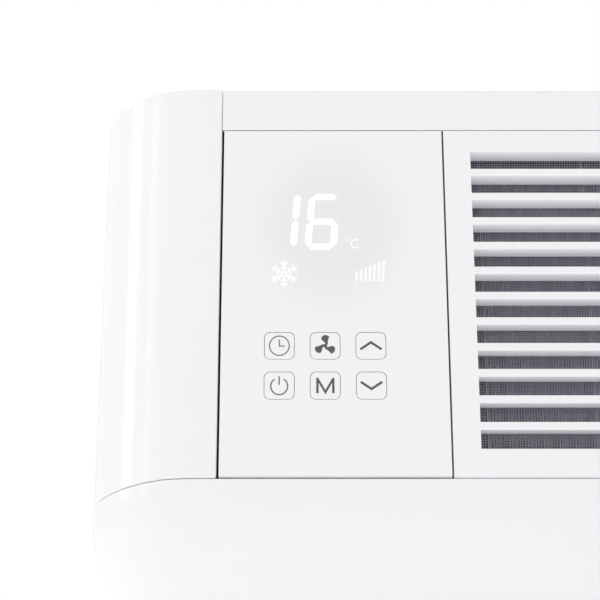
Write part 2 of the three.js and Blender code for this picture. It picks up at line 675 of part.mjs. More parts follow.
function displayBoard() {
  const low = KEY_BOARD_HIGH + FIT;
  const high = PANEL_TOP - DISPLAY_MARGIN;
  const middle = (BOARD_LEFT + BOARD_RIGHT) / 2;
  const board = box(BOARD_LEFT, BOARD_RIGHT, BOARD_FRONT, BOARD_FRONT + BOARD, low, high);
  const lamps = box(
    middle - DISPLAY_WIDTH / 2, middle + DISPLAY_WIDTH / 2, PANEL_BACK + FIT, BOARD_FRONT + BITE,
    low + DISPLAY_MARGIN / 2, high - DISPLAY_MARGIN / 2,
  );
  return join(board, lamps);
}

piece('control_fascia', controlFascia(), 'satin');
KEYS.forEach((spec) => piece(spec.name, key(spec), 'satin'));
piece('key_board', keyBoard(), 'board');
piece('display_board', displayBoard(), 'board');

// ---------------------------------------------------------------- intake grille door and air filter

function intakeGrille() {
  const face = rectangle(DOOR_LEFT, DOOR_RIGHT, PANEL_BOTTOM + PANEL_ROUND, PANEL_TOP);
  const block = rectangle(
    SLOT_LEFT - SLAT_BORDER, SLOT_RIGHT + SLAT_BORDER,
    PANEL_BOTTOM + SLOT_BOTTOM - SLAT_BORDER, PANEL_TOP - SLOT_TOP + SLAT_BORDER,
  );
  for (let i = 0; i < SLOTS; i += 1) {
    const low = PANEL_BOTTOM + SLOT_BOTTOM + SLOT_STEP * i;
    const slot = rectangle(SLOT_LEFT, SLOT_RIGHT, low, low + SLOT_STEP - SLATS);
    face.holes.push(slot);
    block.holes.push(slot);
  }
  const hinge = [[DOOR_LEFT, -HINGE_REACH], [DOOR_RIGHT, HINGE_REACH]].flatMap(([x, reach]) => {
    const inner = x - Math.sign(reach) * RIM_WALL;
    const ear = box(
      Math.min(x, inner), Math.max(x, inner), FRONT + PAST, HINGE_Y + HINGE_PIN + PAST,
      HINGE_Z - HINGE_PIN - PAST, HINGE_Z + HINGE_PIN + 2,
    );
    const ends = [inner, x + reach];
    return [ear, rodX(HINGE_PIN, Math.min(...ends), Math.max(...ends), HINGE_Y, HINGE_Z, 12)];
  });
  const rimSides = [DOOR_LEFT, DOOR_RIGHT - RIM_WALL].map((x) => box(
    x, x + RIM_WALL, PANEL_BACK - BITE, FRONT + PANEL_RIM, PANEL_BOTTOM + PANEL_ROUND, PANEL_TOP,
  ));
  const rimTop = box(
    DOOR_LEFT, DOOR_RIGHT, PANEL_BACK - BITE, FRONT + PANEL_RIM, PANEL_TOP - RIM_WALL, PANEL_TOP,
  );
  return join(
    prismY(face, FRONT, PANEL_BACK), prismY(block, FRONT, FRONT + SLAT_DEPTH),
    lowerEdge(DOOR_LEFT, DOOR_RIGHT), ...rimSides, rimTop, ...hinge,
  );
}

function airFilter() {
  const low = EVAPORATOR_BASE;
  const high = HEIGHT - WALL / 2;
  const ring = rectangle(FILTER_LEFT, FILTER_RIGHT, low, high);
  const inLeft = FILTER_LEFT + FILTER_FRAME;
  const inRight = FILTER_RIGHT - FILTER_FRAME;
  const inHigh = PANEL_TOP - SLOT_TOP / 2;
  ring.holes.push(rectangle(inLeft, inRight, low + FILTER_FRAME, inHigh));
  const middle = (FILTER_FRONT + FILTER_BACK) / 2;
  const web = box(
    inLeft - BITE, inRight + BITE, middle - FILTER_WEB / 2, middle + FILTER_WEB / 2,
    low + FILTER_FRAME - BITE, inHigh + BITE,
  );
  return join(prismY(ring, FILTER_FRONT, FILTER_BACK), web);
}

piece('intake_grille', intakeGrille(), 'white');
piece('air_filter', airFilter(), 'mesh');

// ---------------------------------------------------------------- inner front frame

// Outline of the flange that closes the back of the moulded front.
function flangeOutline() {
  const inset = WALL + FIT;
  const roundTop = CHIN_BOTTOM + CHIN_ROUND_UP;
  const left = [];
  for (let k = ROUND_STEPS; k >= 0; k -= 1) {
    const angle = (Math.PI / 2) * (k / ROUND_STEPS);
    left.push([
      LEFT + inset + (CHIN_ROUND_IN - inset) * (1 - Math.cos(angle)) + FIT,
      roundTop - (roundTop - CHIN_BOTTOM - inset) * Math.sin(angle),
    ]);
  }
  CORNER.slice().reverse().forEach(({ s }) => {
    const x = Math.max(LEFT + inset + FIT, CAP_TANGENT - CAP_CORNER_X * s);
    left.push([x, HEIGHT - inset - FIT - CAP_TOP_DROP * s * s]);
  });
  const right = left.map(([x, z]) => [-x, z]).reverse();
  return polygon([...left, ...right]);
}

function frontFrame() {
  const low = LEDGE_TOP - LEDGE;
  const ceiling = FRAME_TOP - FRAME_WALL;
  const bay = (x0, x1) => box(x0, x1, FRAME_FRONT, FRONT_BACK, LEDGE_TOP, ceiling);
  const walls = cut(
    box(FRAME_LEFT, FRAME_RIGHT, FRAME_FRONT + 6, FRONT_BACK - PAST, low, FRAME_TOP),
    bay(FRAME_LEFT + FRAME_WALL, MIDDLE_X - FRAME_WALL / 2),
    bay(MIDDLE_X + FRAME_WALL / 2, FRAME_RIGHT - FRAME_WALL),
  );
  const flange = flangeOutline();
  flange.holes.push(rectangle(
    FRAME_LEFT + FRAME_WALL, FRAME_RIGHT - FRAME_WALL, low + LEDGE / 2, CABINET_ROOF - FRAME_WALL,
  ));
  const earRight = DOOR_LEFT - FIT;
  const ear = box(
    earRight - FRAME_WALL, earRight, FRAME_FRONT, FRONT + SLAT_DEPTH + FRAME_LIP,
    LEDGE_TOP - LEDGE, HINGE_Z + EAR_RISE,
  );
  const rail = (x0, x1) => box(
    x0, x1, FILTER_FRONT - FIT - RAIL_LIP, FILTER_BACK + FIT + RAIL_LIP, LEDGE_TOP - PAST, PANEL_TOP - 2,
  );
  const rails = [
    rail(MIDDLE_X, FILTER_LEFT + RAIL_GRIP),
    rail(FILTER_RIGHT - RAIL_GRIP, FRAME_RIGHT - FRAME_WALL / 2),
  ];
  const filterPath = box(
    FILTER_LEFT - FIT, FILTER_RIGHT + FIT, FILTER_FRONT - FIT, FILTER_BACK + FIT,
    EVAPORATOR_BASE - FIT, HEIGHT,
  );
  const doorPath = box(
    DOOR_LEFT - FIT, DOOR_RIGHT + FIT, FRONT, FRONT + SLAT_DEPTH + FIT, LEDGE_TOP, PANEL_TOP + 5,
  );
  const bore = rodX(HINGE_PIN + FIT, earRight - 2 * FRAME_WALL, earRight + 1, HINGE_Y, HINGE_Z, 12);
  const mouth = box(
    OUTLET_LEFT - CHEEK - FIT, OUTLET_RIGHT + CHEEK + FIT, HOUSING_FRONT - FIT, FRONT_BACK - FLANGE,
    ceiling - 1, FRAME_TOP + PAST);
  const blowerPath = prismY(
    housingOutline(HOUSING_RADIUS + FIT, ceiling), HOUSING_FRONT - FIT, FRONT_BACK + PAST, 10,
  );
  const pipes = [[PIPE, SUCTION_Z], [CAPILLARY, CAPILLARY_Z]].map(([radius, z]) => rodX(
    radius + PIPE_HOLE, MIDDLE_X - FRAME_WALL, MIDDLE_X + FRAME_WALL, PIPE_END_Y, z - 4, 10,
  ));
  const saddleTop = Math.max(LEDGE_TOP, AXIS_Z - HOUSING_RADIUS + SADDLE_RISE);
  const saddle = box(
    AXIS_X - SADDLE_WIDTH / 2, AXIS_X + SADDLE_WIDTH / 2, HOUSING_FRONT, HOUSING_BACK,
    LEDGE_TOP - PAST, saddleTop,
  );
  const body = join(walls, saddle, prismY(flange, FRONT_BACK - FLANGE, FRONT_BACK), ...rails);
  return cut(cut(body, filterPath, doorPath).add(ear), mouth, bore, blowerPath, ...pipes);
}

// ---------------------------------------------------------------- evaporator, trough and blower

function coil(x0, x1, y0, y1, z0, z1) {
  const plate = 1.5;
  const core = box(x0 + plate, x1 - plate, y0 + plate, y1 - plate, z0 + plate, z1 - plate);
  const ends = [x0, x1 - plate].map((x) => box(x, x + plate, y0, y1, z0, z1));
  return join(core, ...ends.map((end) => end.add(box(
    x0 + plate / 2, x1 - plate / 2, y0 + plate, y1 - plate, z0 + plate, z1 - plate,
  ))));
}

function drainTrough() {
  const x0 = EVAPORATOR_LEFT - FIT - BOX_WALL;
  const x1 = EVAPORATOR_RIGHT + FIT + BOX_WALL;
  const y0 = EVAPORATOR_FRONT - FIT - BOX_WALL;
  const y1 = EVAPORATOR_BACK + FIT + BOX_WALL;
  const tray = box(x0, x1, y0, y1, TROUGH_BOTTOM, TROUGH_BOTTOM + TROUGH_HEIGHT);
  const inside = box(
    x0 + BOX_WALL, x1 - BOX_WALL, y0 + BOX_WALL, y1 - BOX_WALL,
    TROUGH_BOTTOM + BOX_WALL, TROUGH_BOTTOM + TROUGH_HEIGHT + PAST,
  );
  return cut(tray, inside);
}

function housingOutline(radius, top) {
  const shape = new THREE.Shape();
  shape.moveTo(AXIS_X + radius, top);
  shape.lineTo(AXIS_X - radius, top);
  shape.absarc(AXIS_X, AXIS_Z, radius, Math.PI, 2 * Math.PI);
  shape.closePath();
  return shape;
}

const VANE_STEP = (OUTLET_RIGHT - OUTLET_LEFT) / VANES;
const VANE_XS = Array.from({ length: VANES }, (_, i) => OUTLET_LEFT + VANE_STEP * (i + 0.5));
const VANE_Z = HEIGHT - VANE_LOW;

function blowerHousing() {
  const outside = prismY(housingOutline(HOUSING_RADIUS, HOUSING_MOUTH), HOUSING_FRONT, HOUSING_BACK, 10);
  const inside = prismY(
    housingOutline(HOUSING_RADIUS - WALL, HOUSING_MOUTH + 5), HOUSING_FRONT + WALL, HOUSING_BACK - WALL, 10,
  );
  const inlet = rodY(INLET_RADIUS, HOUSING_FRONT - PAST, HOUSING_FRONT + WALL + PAST, AXIS_X, AXIS_Z, 32);
  const shaftHole = rodY(SHAFT_OPENING, HOUSING_BACK - WALL - PAST, HOUSING_BACK + PAST, AXIS_X, AXIS_Z, 16);
  const bores = VANE_XS.map((x) => rodY(
    VANE_PIN + FIT, HOUSING_FRONT - PAST, HOUSING_BACK + PAST, x, VANE_Z, 8,
  ));
  return cut(outside, inside, inlet, shaftHole, ...bores);
}

// An air vane steers left and right; its pins run front to back in the housing walls.
function vane(x) {
  const y0 = HOUSING_FRONT + WALL + FIT;
  const y1 = HOUSING_BACK - WALL - FIT;
  const plate = box(
    x - VANE_THICK / 2, x + VANE_THICK / 2, y0, y1, VANE_Z - VANE_HEIGHT / 2, VANE_Z + VANE_HEIGHT / 2,
  );
  const pin = rodY(VANE_PIN, HOUSING_FRONT + FIT, HOUSING_BACK - FIT, x, VANE_Z, 8);
  const middle = (y0 + y1) / 2;
  const tang = box(
    x - VANE_THICK / 2, x + VANE_THICK / 2, middle - TANG_WIDTH / 2, middle + TANG_WIDTH / 2,
    VANE_Z - VANE_HEIGHT / 2 - TANG_DROP, VANE_Z,
  );
  return join(plate, pin, tang);
}

// The link bar hangs on the vanes' tangs, which pass through its notches.
function vaneLink() {
  const middle = (HOUSING_FRONT + HOUSING_BACK) / 2;
  const top = VANE_Z - LINK_LEVER + LINK_THICK / 2;
  const reach = LINK_EDGE;
  const half = TANG_WIDTH / 2 + 3;
  const bar = box(
    VANE_XS[0] - reach, VANE_XS[VANES - 1] + reach, middle - half, middle + half, top - LINK_THICK, top,
  );
  const notches = VANE_XS.map((x) => box(
    x - VANE_THICK / 2 - LINK_PLAY, x + VANE_THICK / 2 + LINK_PLAY, middle - TANG_WIDTH / 2 - FIT,
    middle + TANG_WIDTH / 2 + FIT, top - LINK_THICK - PAST, top + 1,
  ));
  return cut(bar, ...notches);
}

const WHEEL_FRONT = HOUSING_FRONT + WALL + 3;
const WHEEL_BACK = WHEEL_FRONT + BLOWER_WIDTH;
const SHAFT_BORE = SHAFT_RADIUS + FIT;

function blowerWheel() {
  const disc = rodY(BLOWER_RADIUS, WHEEL_BACK - 2, WHEEL_BACK, AXIS_X, AXIS_Z, 30);
  const hub = rodY(HUB_RADIUS, WHEEL_BACK - 20, WHEEL_BACK, AXIS_X, AXIS_Z, 16);
  const ring = cut(
    rodY(BLOWER_RADIUS, WHEEL_FRONT, WHEEL_FRONT + 2, AXIS_X, AXIS_Z, 30),
    rodY(BLOWER_INNER, WHEEL_FRONT - PAST, WHEEL_FRONT + 3, AXIS_X, AXIS_Z, 30),
  );
  const blades = Array.from({ length: BLOWER_BLADES }, (_, i) => {
    const blade = new THREE.BoxGeometry(BLOWER_RADIUS - BLOWER_INNER - 1, BLOWER_WIDTH - 1, 1.2);
    blade.rotateY(0.5).translate((BLOWER_RADIUS + BLOWER_INNER) / 2 - 0.5, 0, 0);
    blade.rotateY((2 * Math.PI * i) / BLOWER_BLADES);
    return solid(blade.translate(AXIS_X, (WHEEL_FRONT + WHEEL_BACK) / 2, AXIS_Z));
  });
  const bore = rodY(SHAFT_BORE, WHEEL_FRONT - PAST, WHEEL_BACK + PAST, AXIS_X, AXIS_Z, 16);
  return cut(join(disc, hub, ring, ...blades), bore);
}

piece('evaporator_coil', coil(
  EVAPORATOR_LEFT, EVAPORATOR_RIGHT, EVAPORATOR_FRONT, EVAPORATOR_BACK, EVAPORATOR_BASE, EVAPORATOR_ROOF,
), 'fins');
piece('drain_trough', drainTrough(), 'foam');
piece('blower_housing', blowerHousing(), 'foam');
VANE_XS.forEach((x, i) => piece(`vane_${i + 1}`, vane(x), 'white'));
piece('vane_link', vaneLink(), 'white');
piece('blower_wheel', blowerWheel(), 'inner');

// ---------------------------------------------------------------- shaft, motor, bulkhead and condenser fan

const DECK = PAN_TOP + FIT;
const CABINET_IN_LEFT = CABINET_LEFT + SHEET + FIT;
const CABINET_IN_ROOF = CABINET_ROOF - SHEET - FIT;
const PAN_SIDE = CABINET_IN_LEFT + PAN + FIT;

function fanMotor() {
  const can = rodY(MOTOR_RADIUS, MOTOR_FRONT + 8, MOTOR_BACK - 8, AXIS_X, AXIS_Z, 24);
  const ends = rodY(MOTOR_RADIUS * 0.72, MOTOR_FRONT + 3, MOTOR_BACK - 3, AXIS_X, AXIS_Z, 16);
  const boss = rodY(2.6 * SHAFT_RADIUS, MOTOR_FRONT, MOTOR_BACK, AXIS_X, AXIS_Z, 12);
  const bore = rodY(SHAFT_BORE, MOTOR_FRONT - PAST, MOTOR_BACK + PAST, AXIS_X, AXIS_Z, 16);
  return cut(join(can, ends, boss), bore);
}

// Saddle bracket: a bent plate that stands on the pan and cradles the motor.
function motorBracket() {
  const foot = 16;
  const half = MOTOR_RADIUS * 0.8;
  const plate = 3;
  const shape = rectangle(AXIS_X - half - foot, AXIS_X + half + foot, DECK, AXIS_Z - MOTOR_RADIUS * 0.3);
  const body = prismY(shape, MOTOR_FRONT + 14, MOTOR_BACK - 14);
  const out = (side) => box(
    AXIS_X + side * (half + foot) - foot, AXIS_X + side * (half + foot) + foot,
    MOTOR_FRONT, MOTOR_BACK, DECK + plate, AXIS_Z,
  );
  const window = box(AXIS_X - half + plate, AXIS_X + half - plate, MOTOR_FRONT, MOTOR_BACK, DECK - PAST,
    AXIS_Z - MOTOR_RADIUS - 2 * plate);
  const cradle = rodY(MOTOR_RADIUS + FIT, MOTOR_FRONT, MOTOR_BACK, AXIS_X, AXIS_Z, 24);
  return cut(body, out(-1), out(1), window, cradle);
}

function bulkhead() {
  const wall = box(
    PAN_SIDE, -PAN_SIDE, BULKHEAD_FRONT, BULKHEAD_BACK, DECK, CABINET_IN_ROOF,
  );
  const holes = [
    rodY(SHAFT_OPENING, BULKHEAD_FRONT - PAST, BULKHEAD_BACK + PAST, AXIS_X, AXIS_Z, 16),
    rodY(PIPE + FIT, BULKHEAD_FRONT - PAST, BULKHEAD_BACK + PAST, SUCTION_X, SUCTION_Z, 12),
    rodY(CAPILLARY + FIT, BULKHEAD_FRONT - PAST, BULKHEAD_BACK + PAST, CAPILLARY_X, CAPILLARY_Z, 8),
  ];
  return cut(wall, ...holes);
}

function condenserFan() {
  const hub = rodY(FAN_HUB, FAN_FRONT, FAN_BACK, AXIS_X, AXIS_Z, 20);
  const ring = cut(
    rodY(FAN_RADIUS, FAN_BACK - 10, FAN_BACK, AXIS_X, AXIS_Z, 32),
    rodY(FAN_RADIUS - SLINGER, FAN_BACK - 11, FAN_BACK + PAST, AXIS_X, AXIS_Z, 32),
  );
  const blades = Array.from({ length: FAN_BLADES }, (_, i) => {
    const length = FAN_RADIUS - SLINGER / 2 - FAN_HUB + 4;
    const blade = new THREE.Shape();
    blade.moveTo(0, -14);
    blade.quadraticCurveTo(length / 2, -26, length, -24);
    blade.quadraticCurveTo(length + 2, 0, length - 4, 22);
    blade.quadraticCurveTo(length / 2, 24, 0, 12);
    const plate = new THREE.ExtrudeGeometry(blade, { depth: 1.6, bevelEnabled: false, curveSegments: 2 });
    plate.translate(0, 0, -0.8).rotateX(Math.PI / 2 - 0.45).translate(FAN_HUB - 3, 0, 0);
    plate.rotateY((2 * Math.PI * i) / FAN_BLADES);
    return solid(plate.translate(AXIS_X, (FAN_FRONT + FAN_BACK) / 2, AXIS_Z));
  });
  const swept = rodY(FAN_RADIUS - 0.5, FAN_FRONT, FAN_BACK, AXIS_X, AXIS_Z, 32);
  const bore = rodY(SHAFT_BORE, FAN_FRONT - PAST, FAN_BACK + PAST, AXIS_X, AXIS_Z, 16);
  return cut(join(hub, ring, ...blades.map((blade) => blade.intersect(swept))), bore);
}

function fanShroud() {
  const hole = FAN_RADIUS + FAN_CLEAR;
  const plate = box(
    PAN_SIDE, -PAN_SIDE, SHROUD_BACK - SHEET, SHROUD_BACK, DECK, CABINET_IN_ROOF,
  );
  const ring = rodY(hole + WALL, SHROUD_FRONT, SHROUD_BACK, AXIS_X, AXIS_Z, 32);
  const holes = [[PIPE, DISCHARGE_X, DISCHARGE_Z], [CAPILLARY, CAPILLARY_X, CAPILLARY_OUT_Z]].map(
    ([radius, x, z]) => rodY(radius + PIPE_HOLE, SHROUD_BACK - 3, SHROUD_BACK + PAST, x, z, 10),
  );
  const tunnel = rodY(hole, SHROUD_FRONT - PAST, SHROUD_BACK + PAST, AXIS_X, AXIS_Z, 36);
  return cut(join(plate, ring), tunnel, ...holes);
}

const SUCTION_X = COMPRESSOR_X + 40;
const SUCTION_Z = CABINET_ROOF - 44;
const PIPE_END_Y = EVAPORATOR_BACK - 8;
const CAPILLARY_X = SUCTION_X - 20;
const CAPILLARY_Z = SUCTION_Z + 16;
const CAPILLARY_OUT_Z = CAPILLARY_Z - CAPILLARY_TURNS * CAPILLARY_DROP;
const DISCHARGE_X = COMPRESSOR_X - 34;
const DISCHARGE_Z = COMPRESSOR_TOP + 54;
const PIPE_HOLE = 1; // clearance of a pipe in sheet metal

piece('front_frame', frontFrame(), 'inner');
piece('fan_shaft', rodY(SHAFT_RADIUS, WHEEL_BACK - 24, FAN_BACK + 4, AXIS_X, AXIS_Z), 'zinc');
piece('fan_motor', fanMotor(), 'dark');
piece('motor_bracket', motorBracket(), 'zinc');
piece('bulkhead', bulkhead(), 'steel');
piece('condenser_fan', condenserFan(), 'dark');
piece('fan_shroud', fanShroud(), 'foam');
piece('condenser_coil', coil(
  CABINET_LEFT + CONDENSER_SIDE, CABINET_RIGHT - CONDENSER_SIDE, CONDENSER_FRONT, CONDENSER_BACK,
  DECK, CABINET_IN_ROOF - 4,
), 'fins');

// ---------------------------------------------------------------- compressor group and pipes

const GROMMET_ANGLES = [90, 210, 330].map((degrees) => (degrees * Math.PI) / 180);
const GROMMETS = GROMMET_ANGLES.map((angle) => ({
  x: COMPRESSOR_X + PLATE_REACH * Math.cos(angle) * 0.92,
  y: COMPRESSOR_Y + PLATE_REACH * Math.sin(angle) * 0.92,
}));

function compressor() {
  const r = COMPRESSOR_RADIUS;
  const dome = 26;
  const profile = [[0, COMPRESSOR_BASE]];
  profile.push(
    [r * 0.72, COMPRESSOR_BASE], [r, COMPRESSOR_BASE + dome / 2], [r, COMPRESSOR_TOP - dome - 24],
  );
  profile.push([r + 1.5, COMPRESSOR_TOP - dome - 22], [r + 1.5, COMPRESSOR_TOP - dome - 18]);
  profile.push([r, COMPRESSOR_TOP - dome - 16]);
  [0, 35, 65].forEach((degrees) => {
    const angle = (degrees * Math.PI) / 180;
    profile.push([r * Math.cos(angle), COMPRESSOR_TOP - dome + dome * Math.sin(angle)]);
  });
  profile.push([0, COMPRESSOR_TOP]);
  const can = lathe(profile, COMPRESSOR_X, COMPRESSOR_Y, 18);
  const arms = GROMMETS.map(({ x, y }) => {
    const arm = roundedRectangle(
      PLATE_REACH, 2 * GROMMET_RADIUS, GROMMET_RADIUS - 1, PLATE_REACH / 2 + 4, 0,
    );
    const body = new THREE.ExtrudeGeometry(arm, { depth: PLATE + 1, bevelEnabled: false, curveSegments: 4 });
    body.rotateZ(Math.atan2(y - COMPRESSOR_Y, x - COMPRESSOR_X));
    return solid(body.translate(COMPRESSOR_X, COMPRESSOR_Y, PLATE_BOTTOM));
  });
  const bores = GROMMETS.map(({ x, y }) => rodZ(
    GROMMET_BORE, PLATE_BOTTOM - PAST, PLATE_BOTTOM + PLATE + 5, x, y, 8,
  ));
  return cut(join(can, ...arms), ...bores);
}

function grommet({ x, y }) {
  const low = PAN_TOP + FIT;
  const profile = [
    [GROMMET_BORE, low], [GROMMET_RADIUS, low], [GROMMET_RADIUS - 2, low + GROMMET / 2],
    [GROMMET_RADIUS, low + GROMMET], [GROMMET_BORE, low + GROMMET], [GROMMET_BORE, low],
  ];
  return lathe(profile, x, y, 16);
}

const ACCUMULATOR_X = COMPRESSOR_X + (COMPRESSOR_RADIUS + 1.5 + ACCUMULATOR_RADIUS + FIT) * Math.cos(0.5);
const ACCUMULATOR_Y = COMPRESSOR_Y - (COMPRESSOR_RADIUS + 1.5 + ACCUMULATOR_RADIUS + FIT) * Math.sin(0.5);
const ACCUMULATOR_BASE = COMPRESSOR_BASE + 46;
const ACCUMULATOR_TOP = ACCUMULATOR_BASE + ACCUMULATOR_HEIGHT;

function accumulator() {
  const r = ACCUMULATOR_RADIUS;
  return lathe([
    [0, ACCUMULATOR_BASE], [r * 0.5, ACCUMULATOR_BASE + 2], [r, ACCUMULATOR_BASE + 14],
    [r, ACCUMULATOR_TOP - 14], [r * 0.5, ACCUMULATOR_TOP - 2], [0, ACCUMULATOR_TOP],
  ], ACCUMULATOR_X, ACCUMULATOR_Y, 20);
}

function terminalCover() {
  const face = COMPRESSOR_X - COMPRESSOR_RADIUS * 0.5;
  const y = COMPRESSOR_Y - COMPRESSOR_RADIUS - 14;
  const cover = box(face, face + 40, y, COMPRESSOR_Y, COMPRESSOR_BASE + 60, COMPRESSOR_BASE + 104);
  return cut(cover, rodZ(COMPRESSOR_RADIUS + FIT, 0, HEIGHT, COMPRESSOR_X, COMPRESSOR_Y, 48));
}

function dischargePipe() {
  const x = COMPRESSOR_X - 18;
  const y = COMPRESSOR_Y + 10;
  return tube([
    [x, y, COMPRESSOR_TOP + FIT], [x, y, COMPRESSOR_TOP + 24],
    [x - 6, y + 8, DISCHARGE_Z - 8], [DISCHARGE_X + 2, y + 34, DISCHARGE_Z],
    [DISCHARGE_X, SHROUD_FRONT - 10, DISCHARGE_Z], [DISCHARGE_X, CONDENSER_FRONT - FIT, DISCHARGE_Z],
  ], PIPE, 22);
}

// Both pipes of the evaporator pass the bulkhead and turn into its left end plate.
function evaporatorRun(x, z) {
  const end = z - 4;
  return [
    [x, BULKHEAD_FRONT, z], [x, HOUSING_FRONT + 20, z], [x + 6, PIPE_END_Y + 8, z - 2],
    [x + 22, PIPE_END_Y, end], [MIDDLE_X - 14, PIPE_END_Y, end], [EVAPORATOR_LEFT - FIT, PIPE_END_Y, end],
  ];
}

function suctionPipe() {
  return tube([
    [ACCUMULATOR_X, ACCUMULATOR_Y, ACCUMULATOR_TOP + FIT],
    [ACCUMULATOR_X, ACCUMULATOR_Y, ACCUMULATOR_TOP + 26],
    [ACCUMULATOR_X - 3, ACCUMULATOR_Y - 8, SUCTION_Z - 14], [SUCTION_X, BULKHEAD_BACK + 22, SUCTION_Z],
    ...evaporatorRun(SUCTION_X, SUCTION_Z),
  ], PIPE, 36);
}

// The capillary passes the bulkhead, coils a few times and ends at the condenser.
function capillaryTube() {
  const centreY = BULKHEAD_BACK + 28;
  const perTurn = 8;
  const coilPoints = Array.from({ length: CAPILLARY_TURNS * perTurn + 1 }, (_, i) => {
    const angle = (2 * Math.PI * i) / perTurn;
    return [
      CAPILLARY_X - CAPILLARY_RADIUS * (1 - Math.cos(angle)),
      centreY + CAPILLARY_RADIUS * Math.sin(angle),
      CAPILLARY_Z - (CAPILLARY_DROP * i) / perTurn,
    ];
  });
  return tube([
    ...evaporatorRun(CAPILLARY_X, CAPILLARY_Z).reverse(), ...coilPoints,
    [CAPILLARY_X, SHROUD_FRONT, CAPILLARY_OUT_Z], [CAPILLARY_X, CONDENSER_FRONT - FIT, CAPILLARY_OUT_Z],
  ], CAPILLARY, 68, 5);
}

piece('compressor', compressor(), 'dark');
GROMMETS.forEach((spec, i) => piece(`grommet_${i + 1}`, grommet(spec), 'rubber'));
piece('accumulator', accumulator(), 'dark');
piece('terminal_cover', terminalCover(), 'dark');
piece('discharge_pipe', dischargePipe(), 'copper');
piece('suction_pipe', suctionPipe(), 'copper');
piece('capillary_tube', capillaryTube(), 'copper');

// ---------------------------------------------------------------- control box, capacitor and cord gland

const BOX_LEFT = FRAME_LEFT + FRAME_WALL + FIT;
const BOX_RIGHT = MIDDLE_X - FRAME_WALL / 2 - FIT;
const BOX_FRONT = FRONT + BOX_BEHIND;
const BOX_LOW = LEDGE_TOP + FIT;
const BOX_HIGH = PANEL_TOP - BOX_BELOW;

function controlBox() {
  const shell = box(BOX_LEFT, BOX_RIGHT, BOX_FRONT, BOX_FRONT + BOX_DEPTH, BOX_LOW, BOX_HIGH);
  const inside = box(
    BOX_LEFT + BOX_WALL, BOX_RIGHT - BOX_WALL, BOX_FRONT - PAST, BOX_FRONT + BOX_DEPTH - BOX_WALL,
    BOX_LOW + BOX_WALL, BOX_HIGH - BOX_WALL,
  );
  return cut(shell, inside);
}

function cordGland() {
  const low = CHIN_BOTTOM - 8;
  const seat = CHIN_BOTTOM - FIT;
  const lock = CHIN_BOTTOM + WALL + FIT;
  return lathe([
    [GLAND_BORE, low], [GLAND_RADIUS - 2, low], [GLAND_RADIUS, low + 2], [GLAND_RADIUS, seat],
    [GLAND_NECK, seat], [GLAND_NECK, lock], [GLAND_RADIUS, lock], [GLAND_RADIUS, lock + 4],
    [GLAND_BORE, lock + 4], [GLAND_BORE, low],
  ], GLAND_X, GLAND_Y, 20);
}

piece('control_box', controlBox(), 'inner');
piece('capacitor', rodZ(
  CAPACITOR_RADIUS, BOX_LOW + BOX_WALL + FIT, BOX_LOW + BOX_WALL + FIT + CAPACITOR_HEIGHT,
  (BOX_LEFT + BOX_RIGHT) / 2, BOX_FRONT + BOX_DEPTH / 2, 24,
), 'zinc');
piece('cord_gland', cordGland(), 'rubber');

// ---------------------------------------------------------------- base pan, cabinet, guard, feet and screws

const CABINET_FRONT = FRONT_BACK + FIT;
const CABINET_BACK = GUARD_FRONT - FIT;
const PAN_X = CABINET_IN_LEFT;
const SCREW_YS = [CABINET_FRONT + SCREW_INSET, CABINET_BACK - SCREW_INSET];
const SCREW_Z = PAN_BOTTOM + SCREW_UP;

const SCREW_HOLES = SCREW_YS.flatMap((y) => [
  rodX(SCREW_RADIUS + FIT, CABINET_LEFT - PAST, CABINET_LEFT + 2 * SCREW_LENGTH, y, SCREW_Z, 10),
  rodX(SCREW_RADIUS + FIT, CABINET_RIGHT - 2 * SCREW_LENGTH, CABINET_RIGHT + PAST, y, SCREW_Z, 10),
]);

function basePan() {
  const tray = box(PAN_X, -PAN_X, CABINET_FRONT, CABINET_BACK, PAN_BOTTOM, PAN_BOTTOM + PAN_LIP);
  const inside = box(PAN_X + PAN, -PAN_X - PAN, CABINET_FRONT - PAST, CABINET_BACK + PAST, PAN_TOP, HEIGHT);
  return cut(tray, inside, ...SCREW_HOLES);
}

function ventRows(along) {
  const top = CABINET_ROOF - 40;
  const rear = CABINET_BACK - VENT_REAR;
  return Array.from({ length: VENT_ROWS * 2 }, (_, i) => {
    const row = i % VENT_ROWS;
    const column = Math.floor(i / VENT_ROWS);
    const y1 = rear - column * (VENT_LENGTH + VENT_GAP);
    return along(y1 - VENT_LENGTH, y1, top - row * VENT_PITCH);
  });
}

function cabinetSleeve() {
  const outer = box(CABINET_LEFT, CABINET_RIGHT, CABINET_FRONT, CABINET_BACK, PAN_BOTTOM, CABINET_ROOF);
  const inner = box(
    CABINET_LEFT + SHEET, CABINET_RIGHT - SHEET, CABINET_FRONT - PAST, CABINET_BACK + PAST,
    0, CABINET_ROOF - SHEET,
  );
  const sideVents = ventRows((y0, y1, z) => box(
    CABINET_LEFT - PAST, CABINET_RIGHT + PAST, y0, y1, z - VENT_HEIGHT, z,
  ));
  return cut(outer, inner, ...sideVents, ...SCREW_HOLES);
}

